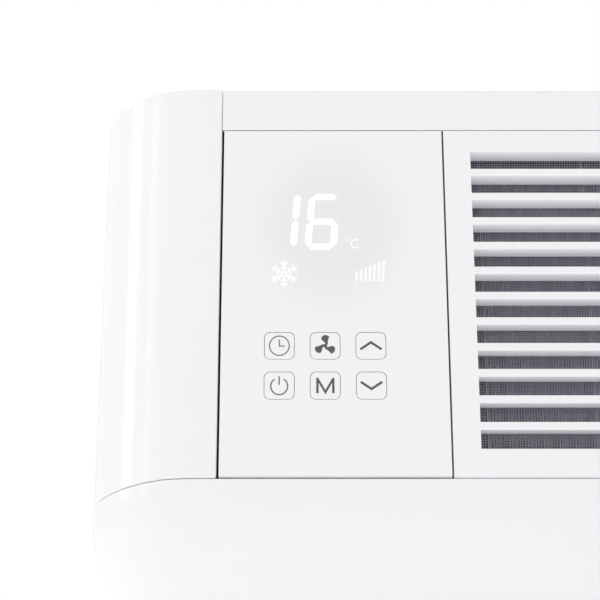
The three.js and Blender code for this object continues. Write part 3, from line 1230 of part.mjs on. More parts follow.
function rearGuard() {
  const low = PAN_BOTTOM;
  const plate = box(CABINET_LEFT, CABINET_RIGHT, GUARD_FRONT, REAR, low, CABINET_ROOF);
  const gaps = [];
  const zone = CABINET_ROOF - low - 2 * GUARD_BORDER;
  const rows = Math.round((zone + GUARD_BAR) / GUARD_PITCH);
  const step = (zone + GUARD_BAR) / rows;
  const columns = 3;
  const width = (CABINET_RIGHT - CABINET_LEFT - 2 * GUARD_BORDER + GUARD_BAR) / columns;
  for (let row = 0; row < rows; row += 1) {
    for (let column = 0; column < columns; column += 1) {
      const x = CABINET_LEFT + GUARD_BORDER + width * column;
      const z = low + GUARD_BORDER + step * row;
      gaps.push(box(x, x + width - GUARD_BAR, GUARD_FRONT - PAST, REAR + PAST, z, z + step - GUARD_BAR));
    }
  }
  return cut(plate, join(...gaps));
}

function foot(x, y) {
  const r = FOOT_RADIUS;
  const top = PAN_BOTTOM - FIT;
  return lathe([[0, 0], [r - 1.5, 0], [r, 1.5], [r - 1, top], [0, top]], x, y, 20);
}

// A pan-head screw through the cabinet's side and the lip of the pan; side is -1 left, +1 right.
function cabinetScrew(side, y) {
  const seat = CABINET_RIGHT + FIT;
  const head = SCREW_HEAD_HEIGHT;
  const body = lathe([
    [0, seat - SCREW_LENGTH], [SCREW_RADIUS, seat - SCREW_LENGTH + 2],
    [SCREW_RADIUS, seat], [SCREW_HEAD, seat],
    [SCREW_HEAD, seat + head / 2], [SCREW_HEAD * 0.6, seat + head], [0, seat + head],
  ], 0, 0, 12);
  const along = body.rotate([0, 90, 0]).translate([0, y, SCREW_Z]);
  return side > 0 ? along : mirrorX(along);
}

piece('base_pan', basePan(), 'zinc');
piece('cabinet_sleeve', cabinetSleeve(), 'steel');
piece('rear_guard', rearGuard(), 'steel');
[[-1, 0], [1, 0], [-1, 1], [1, 1]].forEach(([side, row], i) => {
  const y = row ? CABINET_BACK - FOOT_INSET : CABINET_FRONT + FOOT_INSET;
  piece(`foot_${i + 1}`, foot(side * (CABINET_RIGHT - FOOT_INSET), y), 'rubber');
  piece(`cabinet_screw_${i + 1}`, cabinetScrew(side, SCREW_YS[row]), 'zinc');
});

export default unit;
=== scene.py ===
import json
import math

import bmesh
import bpy
from mathutils import Matrix, Vector

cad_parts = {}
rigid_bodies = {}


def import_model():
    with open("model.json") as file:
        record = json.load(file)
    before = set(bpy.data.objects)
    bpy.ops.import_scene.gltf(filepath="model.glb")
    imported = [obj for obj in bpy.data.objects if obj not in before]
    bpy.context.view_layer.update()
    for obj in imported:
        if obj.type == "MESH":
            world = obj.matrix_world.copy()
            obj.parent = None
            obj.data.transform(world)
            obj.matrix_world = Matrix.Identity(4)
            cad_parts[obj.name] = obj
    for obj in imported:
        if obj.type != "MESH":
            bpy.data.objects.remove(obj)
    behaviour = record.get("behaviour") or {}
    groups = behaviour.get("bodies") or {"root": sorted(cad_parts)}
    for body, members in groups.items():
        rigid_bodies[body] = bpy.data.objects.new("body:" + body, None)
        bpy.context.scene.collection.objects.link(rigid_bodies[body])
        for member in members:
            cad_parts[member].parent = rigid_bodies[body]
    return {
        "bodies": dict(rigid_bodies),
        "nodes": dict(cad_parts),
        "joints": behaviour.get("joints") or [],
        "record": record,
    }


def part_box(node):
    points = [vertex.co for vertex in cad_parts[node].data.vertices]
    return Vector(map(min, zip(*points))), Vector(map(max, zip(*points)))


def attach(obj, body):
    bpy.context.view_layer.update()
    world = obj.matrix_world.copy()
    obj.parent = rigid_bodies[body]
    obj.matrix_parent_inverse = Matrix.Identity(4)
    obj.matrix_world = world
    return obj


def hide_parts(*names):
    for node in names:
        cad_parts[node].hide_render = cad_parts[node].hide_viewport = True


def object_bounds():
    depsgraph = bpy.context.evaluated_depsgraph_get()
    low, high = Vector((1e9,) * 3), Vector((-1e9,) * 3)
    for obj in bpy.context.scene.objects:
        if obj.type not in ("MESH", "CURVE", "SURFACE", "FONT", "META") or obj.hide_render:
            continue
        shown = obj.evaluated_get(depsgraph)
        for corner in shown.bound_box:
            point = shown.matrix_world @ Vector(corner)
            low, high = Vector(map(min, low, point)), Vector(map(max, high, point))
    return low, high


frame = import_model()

CAD_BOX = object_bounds()
MM = 0.001
NODES = frame["nodes"]
BODY_OF = {n: body for body, names in frame["record"]["behaviour"]["bodies"].items() for n in names}
SLOT_OF = {part["node"]: part["material_slot"] for part in frame["record"]["subparts"]}
FRONT = CAD_BOX[0].y

# ---------------------------------------------------------------- materials


def new_material(name, colour, roughness, metallic=0.0, coat=0.0, specular=0.5):
    """A Principled material, its node tree and its shader; constants sit on the shader's own sockets."""
    material = bpy.data.materials.new(name)
    material.use_nodes = True
    tree = material.node_tree
    shader = tree.nodes["Principled BSDF"]
    shader.inputs["Base Color"].default_value = (*colour, 1)
    shader.inputs["Roughness"].default_value = roughness
    shader.inputs["Metallic"].default_value = metallic
    shader.inputs["Coat Weight"].default_value = coat
    shader.inputs["Specular IOR Level"].default_value = specular
    return material, tree, shader


def object_coordinates(tree, scale=(1, 1, 1)):
    """Object coordinates, which here are the frame's own metres."""
    where = tree.nodes.new("ShaderNodeTexCoord")
    mapping = tree.nodes.new("ShaderNodeMapping")
    mapping.inputs["Scale"].default_value = scale
    tree.links.new(where.outputs["Object"], mapping.inputs["Vector"])
    return mapping.outputs["Vector"]


def noise(tree, vector, scale, detail=4.0, roughness=0.55):
    node = tree.nodes.new("ShaderNodeTexNoise")
    node.inputs["Scale"].default_value = scale
    node.inputs["Detail"].default_value = detail
    node.inputs["Roughness"].default_value = roughness
    tree.links.new(vector, node.inputs["Vector"])
    return node.outputs["Fac"]


def remap(tree, value, low, high, start=0.0, end=1.0):
    node = tree.nodes.new("ShaderNodeMapRange")
    node.inputs["From Min"].default_value = start
    node.inputs["From Max"].default_value = end
    node.inputs["To Min"].default_value = low
    node.inputs["To Max"].default_value = high
    tree.links.new(value, node.inputs["Value"])
    return node.outputs["Result"]


def colour_between(tree, factor, first, second):
    node = tree.nodes.new("ShaderNodeMix")
    node.data_type = "RGBA"
    node.inputs[6].default_value = (*first, 1)
    node.inputs[7].default_value = (*second, 1)
    tree.links.new(factor, node.inputs[0])
    return node.outputs[2]


def bump(tree, shader, height, strength, distance):
    node = tree.nodes.new("ShaderNodeBump")
    node.inputs["Strength"].default_value = strength
    node.inputs["Distance"].default_value = distance
    tree.links.new(height, node.inputs["Height"])
    tree.links.new(node.outputs["Normal"], shader.inputs["Normal"])


def moulded_plastic(name, colour, roughness, grain=0.02, grain_scale=2600, coat=0.0, specular=0.5):
    """Injection-moulded plastic: a fine spark-eroded grain, slow flow variation, faint handling marks."""
    material, tree, shader = new_material(name, colour, roughness, coat=coat, specular=specular)
    where = object_coordinates(tree)
    slow = noise(tree, where, 9, 3)
    shade = tuple(c * 0.985 for c in colour)
    tree.links.new(colour_between(tree, slow, colour, shade), shader.inputs["Base Color"])
    marks = noise(tree, where, 70, 6, 0.7)
    rough = remap(tree, marks, roughness * 0.82, roughness * 1.18, 0.3, 0.7)
    tree.links.new(rough, shader.inputs["Roughness"])
    bump(tree, shader, noise(tree, where, grain_scale, 2), grain, 0.0002)
    return material


def sheet_metal(name, colour, roughness, metallic, brushed=(1, 1, 1), spangle=0.0):
    """Sheet metal, bare or dark painted: brushed along one axis when asked, zinc spangle, rub marks."""
    material, tree, shader = new_material(name, colour, roughness, metallic)
    where = object_coordinates(tree, brushed)
    flecks = tree.nodes.new("ShaderNodeTexVoronoi")
    flecks.inputs["Scale"].default_value = 90
    tree.links.new(object_coordinates(tree), flecks.inputs["Vector"])
    mix = tree.nodes.new("ShaderNodeMath")
    mix.operation = "MULTIPLY_ADD"
    mix.inputs[1].default_value = spangle
    tree.links.new(flecks.outputs["Color"], mix.inputs[0])
    tree.links.new(noise(tree, where, 60, 5, 0.65), mix.inputs[2])
    dark = tuple(c * 0.86 for c in colour)
    factor = remap(tree, mix.outputs[0], 0, 1, 0.35, 0.75 + spangle)
    tree.links.new(colour_between(tree, factor, colour, dark), shader.inputs["Base Color"])
    rough = remap(tree, noise(tree, where, 180, 4), roughness * 0.75, roughness * 1.25, 0.3, 0.7)
    tree.links.new(rough, shader.inputs["Roughness"])
    bump(tree, shader, noise(tree, where, 420, 3), 0.12, 0.0003)
    return material


def painted_steel():
    """Off-white baked paint on sheet steel: fine orange peel, faint dust low down and in patches."""
    material, tree, shader = new_material("cabinet_steel", (0.74, 0.745, 0.74), 0.45)
    where = object_coordinates(tree)
    place = tree.nodes.new("ShaderNodeSeparateXYZ")
    tree.links.new(where, place.inputs[0])
    low = remap(tree, place.outputs["Z"], 0.55, 0.0, 0.0, 0.09)
    dust = tree.nodes.new("ShaderNodeMath")
    dust.operation = "MULTIPLY"
    tree.links.new(low, dust.inputs[0])
    tree.links.new(remap(tree, noise(tree, where, 24, 6, 0.7), 0, 1, 0.35, 0.7), dust.inputs[1])
    clean = colour_between(tree, noise(tree, where, 6, 2), (0.745, 0.75, 0.745), (0.73, 0.735, 0.73))
    mix = tree.nodes.new("ShaderNodeMix")
    mix.data_type = "RGBA"
    mix.inputs[7].default_value = (0.60, 0.595, 0.57, 1)
    tree.links.new(clean, mix.inputs[6])
    tree.links.new(dust.outputs[0], mix.inputs[0])
    tree.links.new(mix.outputs[2], shader.inputs["Base Color"])
    tree.links.new(remap(tree, noise(tree, where, 60, 4), 0.38, 0.55, 0.3, 0.7), shader.inputs["Roughness"])
    bump(tree, shader, noise(tree, where, 480, 2), 0.12, 0.0003)
    return material


def lit_plastic(name, strength):
    """White light coming through the thin face, slightly uneven from place to place."""
    material, tree, shader = new_material(name, (0.88, 0.88, 0.88), 0.4)
    where = object_coordinates(tree)
    glow = remap(tree, noise(tree, where, 260, 2), 0.8 * strength, 1.2 * strength, 0.3, 0.7)
    shader.inputs["Emission Color"].default_value = (1, 1, 1, 1)
    tree.links.new(glow, shader.inputs["Emission Strength"])
    return material


def slats_painted_underlight():
    """Glossy white slats with painted light: a soft violet glow on each slat's underside, fading inwards,
    stands in for light bouncing up under the slats.
    """
    material = moulded_plastic("slats_painted_underlight", (0.84, 0.84, 0.845), 0.22, 0.01, coat=0.4)
    tree = material.node_tree
    shader = tree.nodes["Principled BSDF"]
    # Painted light: emission on the downward-facing faces, strongest at the front edge and fading towards
    # the back.
    shape = tree.nodes.new("ShaderNodeNewGeometry")
    facing = tree.nodes.new("ShaderNodeSeparateXYZ")
    tree.links.new(shape.outputs["Normal"], facing.inputs[0])
    under = remap(tree, facing.outputs["Z"], 0, 1, -0.5, -0.95)
    place = tree.nodes.new("ShaderNodeSeparateXYZ")
    tree.links.new(object_coordinates(tree), place.inputs[0])
    depth = remap(tree, place.outputs["Y"], 0.26, 0.17, FRONT + 1 * MM, FRONT + 13 * MM)
    glow = tree.nodes.new("ShaderNodeMath")
    glow.operation = "MULTIPLY"
    tree.links.new(under, glow.inputs[0])
    tree.links.new(depth, glow.inputs[1])
    # The painted underlight is tinted violet.
    shader.inputs["Emission Color"].default_value = (0.9, 0.88, 1.0, 1)
    tree.links.new(glow.outputs[0], shader.inputs["Emission Strength"])
    return material


def display_face():
    """The fascia's satin plastic, slightly greyer in a soft patch where the display lies behind."""
    white = (0.84, 0.84, 0.842)
    grey = (0.775, 0.775, 0.777)
    material = moulded_plastic("display_face", white, 0.4, 0.03)
    tree = material.node_tree
    shader = tree.nodes["Principled BSDF"]
    low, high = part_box("control_fascia")
    where = object_coordinates(tree)
    centre = Vector((low.x + 60.5 * MM, 0, high.z - 58 * MM))
    shift = tree.nodes.new("ShaderNodeVectorMath")
    shift.operation = "SUBTRACT"
    shift.inputs[1].default_value = centre
    tree.links.new(where, shift.inputs[0])
    squeeze = tree.nodes.new("ShaderNodeVectorMath")
    squeeze.operation = "MULTIPLY"
    squeeze.inputs[1].default_value = (1 / 0.047, 0, 1 / 0.052)
    tree.links.new(shift.outputs[0], squeeze.inputs[0])
    length = tree.nodes.new("ShaderNodeVectorMath")
    length.operation = "LENGTH"
    tree.links.new(squeeze.outputs[0], length.inputs[0])
    patch = remap(tree, length.outputs["Value"], 1, 0, 0.55, 1.05)
    base = shader.inputs["Base Color"].links[0].from_socket
    mix = tree.nodes.new("ShaderNodeMix")
    mix.data_type = "RGBA"
    mix.inputs[7].default_value = (*grey, 1)
    tree.links.new(base, mix.inputs[6])
    tree.links.new(patch, mix.inputs[0])
    tree.links.new(mix.outputs[2], shader.inputs["Base Color"])
    return material


def build_materials():
    return {
        "white_gloss": moulded_plastic("white_gloss", (0.84, 0.84, 0.845), 0.22, 0.01, coat=0.4),
        "white_satin": moulded_plastic("white_satin", (0.84, 0.84, 0.842), 0.4, 0.03),
        "inner_plastic": moulded_plastic("inner_plastic", (0.66, 0.66, 0.67), 0.55, 0.08),
        "filter_mesh": moulded_plastic("filter_mesh", (0.17, 0.17, 0.20), 0.6, 0.1),
        "circuit_board": moulded_plastic("circuit_board", (0.03, 0.19, 0.09), 0.4, 0.1, 900),
        "cabinet_steel": painted_steel(),
        "zinc_steel": sheet_metal("zinc_steel", (0.56, 0.58, 0.60), 0.38, 0.9, spangle=0.5),
        "shaft_steel": sheet_metal("shaft_steel", (0.55, 0.56, 0.57), 0.25, 1.0, brushed=(1, 0.05, 1)),
        "capacitor_can": sheet_metal("capacitor_can", (0.70, 0.71, 0.73), 0.3, 0.95, brushed=(1, 1, 0.05)),
        "coil_fins": sheet_metal("coil_fins", (0.74, 0.77, 0.80), 0.3, 0.9, brushed=(1, 1, 0.1)),
        "black_paint": sheet_metal("black_paint", (0.022, 0.023, 0.025), 0.38, 0.0),
        "black_plastic": moulded_plastic("black_plastic", (0.03, 0.03, 0.033), 0.5, 0.1, 900),
        "foam_plastic": moulded_plastic("foam_plastic", (0.80, 0.79, 0.75), 0.85, 0.5, 420),
        "copper": sheet_metal("copper", (0.72, 0.36, 0.2), 0.3, 1.0),
        "rubber": moulded_plastic("rubber", (0.03, 0.03, 0.032), 0.8, 0.25, 700, specular=0.3),
        "filter_thread": moulded_plastic("filter_thread", (0.36, 0.36, 0.42), 0.5, 0.1, 5000),
        "fin_collars": sheet_metal("fin_collars", (0.62, 0.66, 0.70), 0.4, 0.6),
        "dark_print": moulded_plastic("dark_print", (0.085, 0.085, 0.095), 0.45, 0.1, 5000),
        "line_print": moulded_plastic("line_print", (0.13, 0.13, 0.14), 0.45, 0.1, 5000),
        "slats_painted_underlight": slats_painted_underlight(),
        "lit_marks": lit_plastic("lit_marks", 0.2),
        "soft_marks": lit_plastic("soft_marks", 0.07),
        "display_face": display_face(),
    }


MATERIALS = build_materials()


# ---------------------------------------------------------------- mesh helpers


def finish_piece(name, mesh, node, slot=None, body=None, material=None, replaced=()):
    """Links a mesh as a piece that rides on its node's body and, when asked, stands for CAD nodes."""
    piece = bpy.data.objects.new(name, mesh)
    bpy.context.scene.collection.objects.link(piece)
    slot = slot or SLOT_OF[node]
    mesh.materials.clear()
    mesh.materials.append(material or MATERIALS[slot])
    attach(piece, body or BODY_OF[node])
    if replaced:
        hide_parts(*replaced)
    return piece


def mesh_from(name, work, smooth_angle=35):
    """A mesh from a bmesh, smooth across edges flatter than the angle."""
    bmesh.ops.recalc_face_normals(work, faces=work.faces)
    mesh = bpy.data.meshes.new(name)
    for face in work.faces:
        face.smooth = True
    limit = math.radians(smooth_angle)
    for edge in work.edges:
        edge.smooth = len(edge.link_faces) == 2 and edge.calc_face_angle(0) < limit
    work.to_mesh(mesh)
    work.free()
    return mesh


def add_box(work, low, high):
    """A closed box between two corners."""
    centre = (Vector(low) + Vector(high)) / 2
    size = Vector(high) - Vector(low)
    matrix = Matrix.Translation(centre) @ Matrix.Diagonal((*size, 1))
    bmesh.ops.create_cube(work, size=1, matrix=matrix)


FLAT_LIMIT = math.radians(1)  # faces this near to one plane are joined before their edges are rounded
WELD = 1e-6
BEVEL_LIMIT = math.radians(28)  # edges sharper than this are rounded


def bevelled_copy(node, width, segments, inset=0.0):
    """The CAD node's own shape with every sharp edge rounded, as a new piece."""
    work = bmesh.new()
    work.from_mesh(NODES[node].data)
    bmesh.ops.remove_doubles(work, verts=work.verts, dist=WELD)
    if node not in THIN_BLADES:
        bmesh.ops.dissolve_limit(work, angle_limit=FLAT_LIMIT, verts=work.verts, edges=work.edges)
    if inset:
        set_back(work, inset)
    piece = finish_piece(node + "_skin", mesh_from(node + "_mesh", work), node, replaced=(node,))
    add_bevel(piece, width, segments, slide=node != SLOTTED_PLATE)
    return piece


EDGES_MM = {
    "left_end_cap": 1.2, "right_end_cap": 1.2, "chin_shell": 0.8, "top_cover": 0.9, "front_frame": 0.4,
    "louvre_1": 0.2, "louvre_2": 0.2, "louvre_3": 0.2, "control_box": 0.4, "cabinet_sleeve": 0.25,
    "rear_guard": 0.8, "base_pan": 0.3, "bulkhead": 0.2, "blower_housing": 0.6, "fan_shroud": 0.3,
    "fan_motor": 0.6, "motor_bracket": 0.5, "compressor": 0.8, "terminal_cover": 0.8, "drain_trough": 0.5,
    "fan_shaft": 0.4, "capacitor": 0.8, "cord_gland": 0.4, "vane_link": 0.3, "condenser_fan": 0.3,
    "blower_wheel": 0.2, "vane_1": 0.25, "vane_2": 0.25, "vane_3": 0.25, "vane_4": 0.25, "vane_5": 0.25,
    "intake_grille": 0.6,
}
THIN_BLADES = ("louvre_1", "louvre_2", "louvre_3", "vane_1", "vane_2", "vane_3", "vane_4", "vane_5")
SLOTTED_PLATE = "rear_guard"  # sliding its bevels along the slots would draw faces across them
INSET = 0.12 * MM  # the panels' faces lie this far behind the front plane, which leaves room for the marks
KEYS = ("timer_key", "fan_key", "up_key", "power_key", "mode_key", "down_key")


def set_back(work, depth):
    """Moves the front plane back, so that inlays on it stay inside the object's box."""
    for vertex in work.verts:
        if vertex.co.y < FRONT + 0.01 * MM:
            vertex.co.y += depth


def add_bevel(piece, width, segments=2, slide=True):
    modifier = piece.modifiers.new("edges", "BEVEL")
    modifier.width = width
    modifier.segments = segments
    modifier.limit_method = "ANGLE"
    modifier.angle_limit = BEVEL_LIMIT
    modifier.harden_normals = True
    modifier.loop_slide = slide


# ---- flat marks: outlines in the panel's own millimetres, x to the right and z up


def prism(work, outline, y_front, y_back):
    """A closed prism over an (x, z) outline, in metres."""
    count = len(outline)
    front = [work.verts.new((x, y_front, z)) for x, z in outline]
    back = [work.verts.new((x, y_back, z)) for x, z in outline]
    work.faces.new(front)
    work.faces.new(back[::-1])
    for i in range(count):
        j = (i + 1) % count
        work.faces.new((front[i], back[i], back[j], front[j]))


def band(work, path, width, y_front, y_back, closed=False):
    """A closed strip of one width along an (x, z) path."""
    points = [Vector(p) for p in path]
    count = len(points)
    left, right = [], []
    for i, here in enumerate(points):
        before = points[i - 1] if i or closed else None
        after = points[(i + 1) % count] if i < count - 1 or closed else None
        steps = [(a, b) for a, b in ((before, here), (here, after)) if a is not None and b is not None]
        ways = [(b - a).normalized() for a, b in steps]
        way = sum(ways, Vector((0, 0))).normalized()
        half = width / 2 / max(0.35, way.dot(ways[0]))
        side = Vector((-way.y, way.x)) * half
        left.append(here + side)
        right.append(here - side)
    if not closed:
        prism(work, left + right[::-1], y_front, y_back)
        return
    rings = [[work.verts.new((p.x, y, p.y)) for p in row] for row, y in
             ((left, y_front), (right, y_front), (right, y_back), (left, y_back))]
    for k in range(4):
        for i in range(count):
            j = (i + 1) % count
            following = rings[(k + 1) % 4]
            work.faces.new((rings[k][i], rings[k][j], following[j], following[i]))


def arc(cx, cz, radius, start, end, steps):
    turns = [math.radians(start + (end - start) * i / steps) for i in range(steps + 1)]
    return [(cx + radius * math.cos(turn), cz + radius * math.sin(turn)) for turn in turns]


def scaled(points, cx, cz):
    """Icon points in millimetres about a centre in metres."""
    return [(cx + x * MM, cz + z * MM) for x, z in points]


def icon_bands(name):
    """Each icon as strips: (points in mm, width in mm, closed)."""
    if name == "up_key":
        return [([(-5.8, -2.0), (0, 1.9), (5.8, -2.0)], 1.3, False)]
    if name == "down_key":
        return [([(-5.8, 2.0), (0, -1.9), (5.8, 2.0)], 1.3, False)]
    if name == "timer_key":
        return [(arc(0, 0, 5.4, 0, 352, 44), 0.6, True), ([(0, 3.4), (0, -0.2), (3.0, -0.2)], 0.6, False)]
    if name == "power_key":
        return [(arc(0, -0.4, 4.6, 122, 418, 36), 0.7, False), ([(0, 5.1), (0, 0.4)], 0.7, False)]
    if name == "mode_key":
        return [([(-4.3, -4.2), (-4.3, 4.2)], 1.25, False), ([(4.3, -4.2), (4.3, 4.2)], 1.25, False),
                ([(-4.4, 4.0), (0, -3.7), (4.4, 4.0)], 1.15, False)]
    return []


def fan_blade_outline(turn):
    """One swept blade of the three-bladed fan icon, in mm."""
    points = []
    for radius, angle in ((0.9, 66), (2.0, 100), (3.4, 118), (4.8, 117), (5.8, 103),
                          (6.1, 84), (5.6, 66), (4.3, 66), (2.8, 58), (1.6, 24)):
        a = math.radians(angle + turn)
        points.append((radius * math.cos(a), radius * math.sin(a)))
    return points


def build_key_marks():
    y_front = FRONT + 0.04 * MM
    y_back = FRONT + INSET + 0.1 * MM
    for name in KEYS:
        low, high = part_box(name)
        cx = (low.x + high.x) / 2
        cz = (low.z + high.z) / 2
        work = bmesh.new()
        for layer, (points, width, closed) in enumerate(icon_bands(name)):
            band(work, scaled(points, cx, cz), width * MM, y_front + 0.005 * MM * layer, y_back, closed)
        if name == "fan_key":
            for layer, turn in enumerate((0, 120, 240)):
                outline = scaled(fan_blade_outline(turn), cx, cz)
                prism(work, outline, y_front + 0.005 * MM * (layer + 1), y_back)
            prism(work, scaled(arc(0, 0, 1.1, 0, 345, 23), cx, cz), y_front, y_back)
        mark = "line_print" if name in ("timer_key", "power_key") else "dark_print"
        finish_piece(name + "_mark", mesh_from(name + "_mark", work), name, "black_plastic",
                     material=MATERIALS[mark])
        bevelled_copy(name, 0.35 * MM, 3, INSET)


# Seven-segment digit: the segments that light, on a cell one wide and two tall
SEGMENTS = {
    "a": ((0, 2), (1, 2)), "b": ((1, 2), (1, 1)), "c": ((1, 1), (1, 0)), "d": ((0, 0), (1, 0)),
    "e": ((0, 1), (0, 0)), "f": ((0, 2), (0, 1)), "g": ((0, 1), (1, 1)),
}


def segment_outline(start, end, width, gap):
    """A six-sided segment with pointed ends."""
    a, b = Vector(start), Vector(end)
    way = (b - a).normalized()
    side = Vector((-way.y, way.x)) * (width / 2)
    a, b = a + way * gap, b - way * gap
    point = way * (width / 2)
    return [a, a + point + side, b - point + side, b, b - point - side, a + point - side]


def digit(work, lit, x, z, wide, tall, width, slant, y_front, y_back):
    """A slanted digit whose segments' middles run from (x, z) over wide by tall."""
    for name in lit:
        ends = [Vector((x + u * wide, z + v * tall / 2)) for u, v in SEGMENTS[name]]
        outline = segment_outline(*ends, width, 0.25 * MM)
        prism(work, [(p.x + (p.y - z) * slant, p.y) for p in outline], y_front, y_back)


def build_display():
    """Lit digits, degree sign with a C, snowflake and fan-speed bars on the fascia's white face."""
    low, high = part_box("control_fascia")
    left = low.x
    top = high.z + 25.9 * MM
    y_front = FRONT + INSET - 0.03 * MM
    y_back = FRONT + INSET + 0.3 * MM

    def at(x, down):
        return left + x * MM, top - down * MM

    work = bmesh.new()
    x, z = at(39.4, 95.5)
    digit(work, "bc", x, z, 0, 31.2 * MM, 3.7 * MM, 0.085, y_front, y_back)
    x, z = at(47.6, 95.5)
    digit(work, "acdefg", x, z, 14.2 * MM, 29.4 * MM, 3.7 * MM, 0.085, y_front, y_back)
    finish_piece("display_digits", mesh_from("display_digits", work), "control_fascia", "white_satin",
                 material=MATERIALS["lit_marks"])
    work = bmesh.new()
    x, z = at(69.6, 91.4)
    band(work, scaled(arc(0, 0, 0.7, 0, 330, 12), x, z), 0.4 * MM, y_front, y_back, True)
    x, z = at(74.2, 93.7)
    band(work, scaled(arc(0, 0, 2.5, 48, 312, 16), x, z), 0.75 * MM, y_front, y_back)
    cx, cz = at(34.5, 111.3)
    for spoke in range(6):
        turn = math.radians(60 * spoke + 30)
        cos, sin = math.cos(turn), math.sin(turn)

        def spin(points):
            return [(cx + (px * cos - pz * sin) * MM, cz + (px * sin + pz * cos) * MM) for px, pz in points]

        under = y_front + (0.004 + 0.004 * spoke) * MM
        band(work, spin([(0.5, 0), (8.1, 0)]), 1.0 * MM, under, y_back)
        band(work, spin([(6.9, 2.1), (4.9, 0), (6.9, -2.1)]), 0.85 * MM, under - 0.002 * MM, y_back)
        band(work, spin([(4.2, 1.7), (2.6, 0), (4.2, -1.7)]), 0.85 * MM, under - 0.002 * MM, y_back)
    for bar in range(7):
        x, z = at(73.9 + 2.45 * bar, 115.6)
        height = (5.8 + 1.07 * bar) * MM
        slant = 0.06 * height
        prism(work, [(x, z), (x + 1.2 * MM, z), (x + 1.2 * MM + slant, z + height), (x + slant, z + height)],
              y_front, y_back)
    finish_piece("display_symbols", mesh_from("display_symbols", work), "control_fascia", "white_satin",
                 material=MATERIALS["soft_marks"])


# ---- air filter: a frame and a woven thread grid


def thread(work, start, end, radius, sides=4):
    """A round thread between two points, closed at both ends."""
    way = Vector(end) - Vector(start)
    turned = way.to_track_quat("Z", "Y").to_matrix().to_4x4()
    matrix = Matrix.Translation((Vector(start) + Vector(end)) / 2) @ turned
    bmesh.ops.create_cone(work, cap_ends=True, segments=sides, radius1=radius, radius2=radius,
                          depth=way.length, matrix=matrix @ Matrix.Rotation(math.pi / 4, 4, "Z"))


def build_filter():
    low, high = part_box("air_filter")
    y = (low.y + high.y) / 2
    rim = 8 * MM
    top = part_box("intake_grille")[1].z - 6.5 * MM
    left, right, bottom = low.x + rim, high.x - rim, low.z + rim
    work = bmesh.new()
    outline = [(low.x, low.z), (high.x, low.z), (high.x, high.z), (low.x, high.z)]
    inner = [(left, bottom), (right, bottom), (right, top), (left, top)]
    rings = [[work.verts.new((x, yy, z)) for x, z in pts] for pts, yy in
             ((outline, low.y), (inner, low.y), (inner, high.y), (outline, high.y))]
    for k in range(4):
        for i in range(4):
            j = (i + 1) % 4
            following = rings[(k + 1) % 4]
            work.faces.new((rings[k][i], rings[k][j], following[j], following[i]))
    frame = finish_piece("filter_frame", mesh_from("filter_frame", work), "air_filter", "filter_mesh",
                         replaced=("air_filter",))
    add_bevel(frame, 0.5 * MM)
    work = bmesh.new()
    pitch = 1.45 * MM
    radius = 0.3 * MM
    across = round((right - left) / pitch)
    for i in range(1, across):
        x = left + (right - left) * i / across
        thread(work, (x, y - radius * 0.7, bottom - MM), (x, y - radius * 0.7, top + MM), radius)
    up = round((top - bottom) / pitch)
    for i in range(1, up):
        z = bottom + (top - bottom) * i / up
        thread(work, (left - MM, y + radius * 0.7, z), (right + MM, y + radius * 0.7, z), radius)
    ribs = 3
    for i in range(1, ribs):
        x = left + (right - left) * i / ribs
        add_box(work, (x - MM, y + 0.5 * MM, bottom - MM), (x + MM, high.y - 0.1 * MM, top + MM))
    finish_piece("filter_threads", mesh_from("filter_threads", work), "air_filter", "filter_mesh",
                 material=MATERIALS["filter_thread"])


# ---- coils: real fin packs with their tubes and end plates


FIN_MARGIN = 2 * MM  # the end plates stand this far past the fins


def build_coil(node, pitch, rows, tube_step, tube_radius, fin):
    """Fins across the width, horizontal tubes through them, bends at both ends, inside the node's box."""
    low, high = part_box(node)
    plate = 1.5 * MM
    bend = 9 * MM
    left, right = low.x + bend, high.x - bend
    work = bmesh.new()
    count = int((right - left - 2 * plate) / pitch)
    start = (left + right - pitch * (count - 1)) / 2
    for i in range(count):
        x = start + pitch * i
        add_box(work, (x - fin / 2, low.y + FIN_MARGIN, low.z + FIN_MARGIN),
                (x + fin / 2, high.y - FIN_MARGIN, high.z - FIN_MARGIN))
    finish_piece(node + "_fins", mesh_from(node + "_fins", work), node, "coil_fins", replaced=(node,))
    work = bmesh.new()
    for x in (left, right - plate):
        add_box(work, (x, low.y, low.z), (x + plate, high.y, high.z))
    plates = finish_piece(node + "_plates", mesh_from(node + "_plates", work), node, "zinc_steel")
    add_bevel(plates, 0.3 * MM)
    straight = bmesh.new()
    work = bmesh.new()
    depth = high.y - low.y
    ys = [low.y + depth * (k + 0.5) / rows for k in range(rows)]
    levels = int((high.z - low.z - 12 * MM) / tube_step)
    z0 = (low.z + high.z - tube_step * levels) / 2
    for k, y in enumerate(ys):
        for i in range(levels + 1):
            z = z0 + tube_step * i
            thread(straight, (left - 0.5 * MM, y, z), (right + 0.5 * MM, y, z), tube_radius, 8)
        for i in range(levels):
            side = left if (i + k) % 2 else right
            way = -1 if side == left else 1
            radius = tube_step / 2
            reach = bend - tube_radius - 0.3 * MM
            path = [(side + way * reach * math.sin(math.pi * t / 8), y,
                     z0 + tube_step * i + radius - radius * math.cos(math.pi * t / 8)) for t in range(9)]
            tube_along(work, path, tube_radius, 8)
    finish_piece(node + "_tubes", mesh_from(node + "_tubes", straight), node, "coil_fins",
                 material=MATERIALS["fin_collars"])
    finish_piece(node + "_bends", mesh_from(node + "_bends", work), node, "copper")


